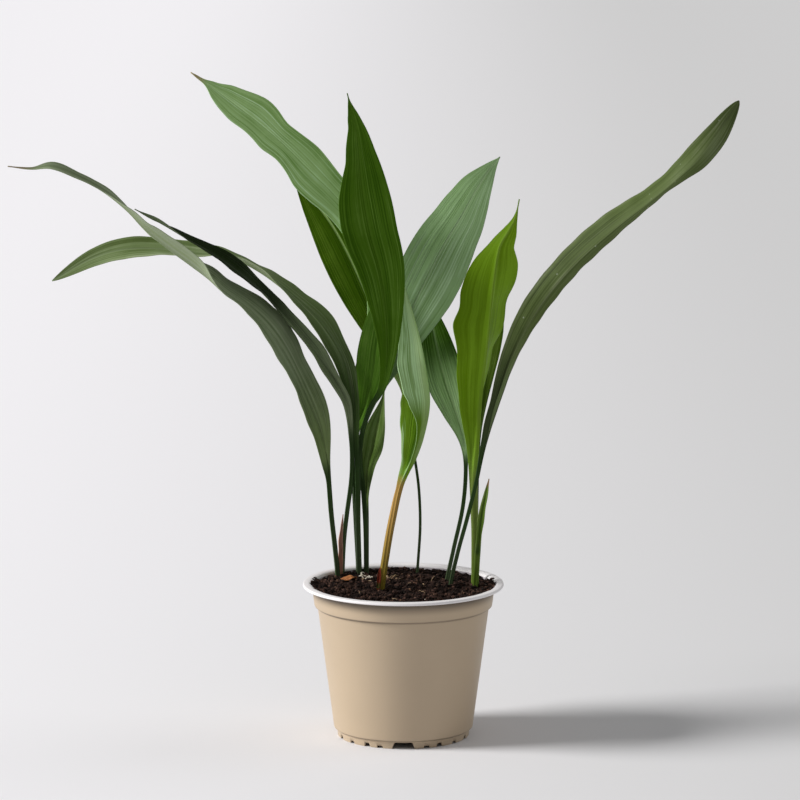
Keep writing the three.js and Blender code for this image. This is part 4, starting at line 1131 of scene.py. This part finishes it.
ROOT = earth("root_pale", (0.5, 0.45, 0.36), (0.75, 0.7, 0.6), (0.85, 0.82, 0.75), 500)
TAN = earth("fibre_tan", (0.28, 0.19, 0.11), (0.48, 0.34, 0.22), (0.65, 0.52, 0.38), 500)
DRY = earth("scrap_dry", (0.30, 0.11, 0.04), (0.60, 0.26, 0.10), (0.75, 0.48, 0.26), 300)
dress(strand("root_ends", fibre_paths(9, (-28.5, 24), 2.0, 6), 0.5), ROOT)
loose = fibre_paths(16, (-11, 20), 2.4, 7) + fibre_paths(10, (0, 0), 28, 7)
dress(strand("fibres", loose, 0.3), TAN)
dress(make_scrap(), DRY)


# Stage --------------------------------------------
FLOOR_SIZE = 40
FLOOR_TURN = 0.58
# The floor's colours from left to right: painted light, brighter to the left as if a wash of light came from
# that side.
FLOOR_PAINTED_LIGHT = ((0.925, 0.915, 0.945), (0.635, 0.635, 0.64))
SKY = 0.29
LAMPS = {
    "key": dict(place=(-1.7, -0.2, 1.0), strength=3.8, angle=22, colour=(1, 0.99, 0.98)),
    "rim": dict(place=(1.6, 0.5, 0.8), strength=0.45, angle=40, colour=(1, 1, 1)),
}
CAMERA_PLACE = (-0.0025, -3.5, 0.849)
CAMERA_TILT = 9.6505
CAMERA_ANGLE = 9.5505


def put_in_scene(name, data, place, rotation):
    holder = bpy.data.objects.new(name, data)
    bpy.context.scene.collection.objects.link(holder)
    holder.location = place
    holder.rotation_euler = rotation
    return holder


def make_stage():
    """A pale floor painted brighter to the left, painted light for light falling from that side, a plain sky, a
    wide lamp from the left and a weak one behind.
    """
    half = FLOOR_SIZE / MM / 2
    corners = [(-half, -half, 0), (half, -half, 0), (half, half, 0), (-half, half, 0)]
    floor = new_piece("floor", corners, [(0, 1, 2, 3)])
    look = Look("floor_look")
    across = look.split(look.place())[0]
    shade = look.mix(look.ramp(across, -FLOOR_TURN, FLOOR_TURN), *FLOOR_PAINTED_LIGHT)
    look.set(Base_Color=shade, Roughness=0.9, Specular_IOR_Level=0.0)
    floor.data.materials.append(look.material)
    world = bpy.data.worlds.new("studio")
    bpy.context.scene.world = world
    world.use_nodes = True
    world.node_tree.nodes["Background"].inputs["Color"].default_value = (1, 1, 1, 1)
    world.node_tree.nodes["Background"].inputs["Strength"].default_value = SKY
    for name, lamp in LAMPS.items():
        light = bpy.data.lights.new(name, "SUN")
        light.energy = lamp["strength"]
        light.angle = math.radians(lamp["angle"])
        light.color = lamp["colour"]
        x, y, z = lamp["place"]
        rotation = (math.atan2(math.hypot(x, y), z), 0, math.atan2(y, x) + math.pi / 2)
        put_in_scene(name, light, lamp["place"], rotation)


def make_camera():
    camera = bpy.data.cameras.new("camera")
    camera.sensor_fit = "HORIZONTAL"
    camera.angle = math.radians(CAMERA_ANGLE)
    camera.clip_start = 0.1
    camera.clip_end = 200
    rotation = (math.radians(90 - CAMERA_TILT), 0, 0)
    bpy.context.scene.camera = put_in_scene("camera", camera, CAMERA_PLACE, rotation)


make_stage()
make_camera()
bpy.context.scene.view_settings.view_transform = "Standard"
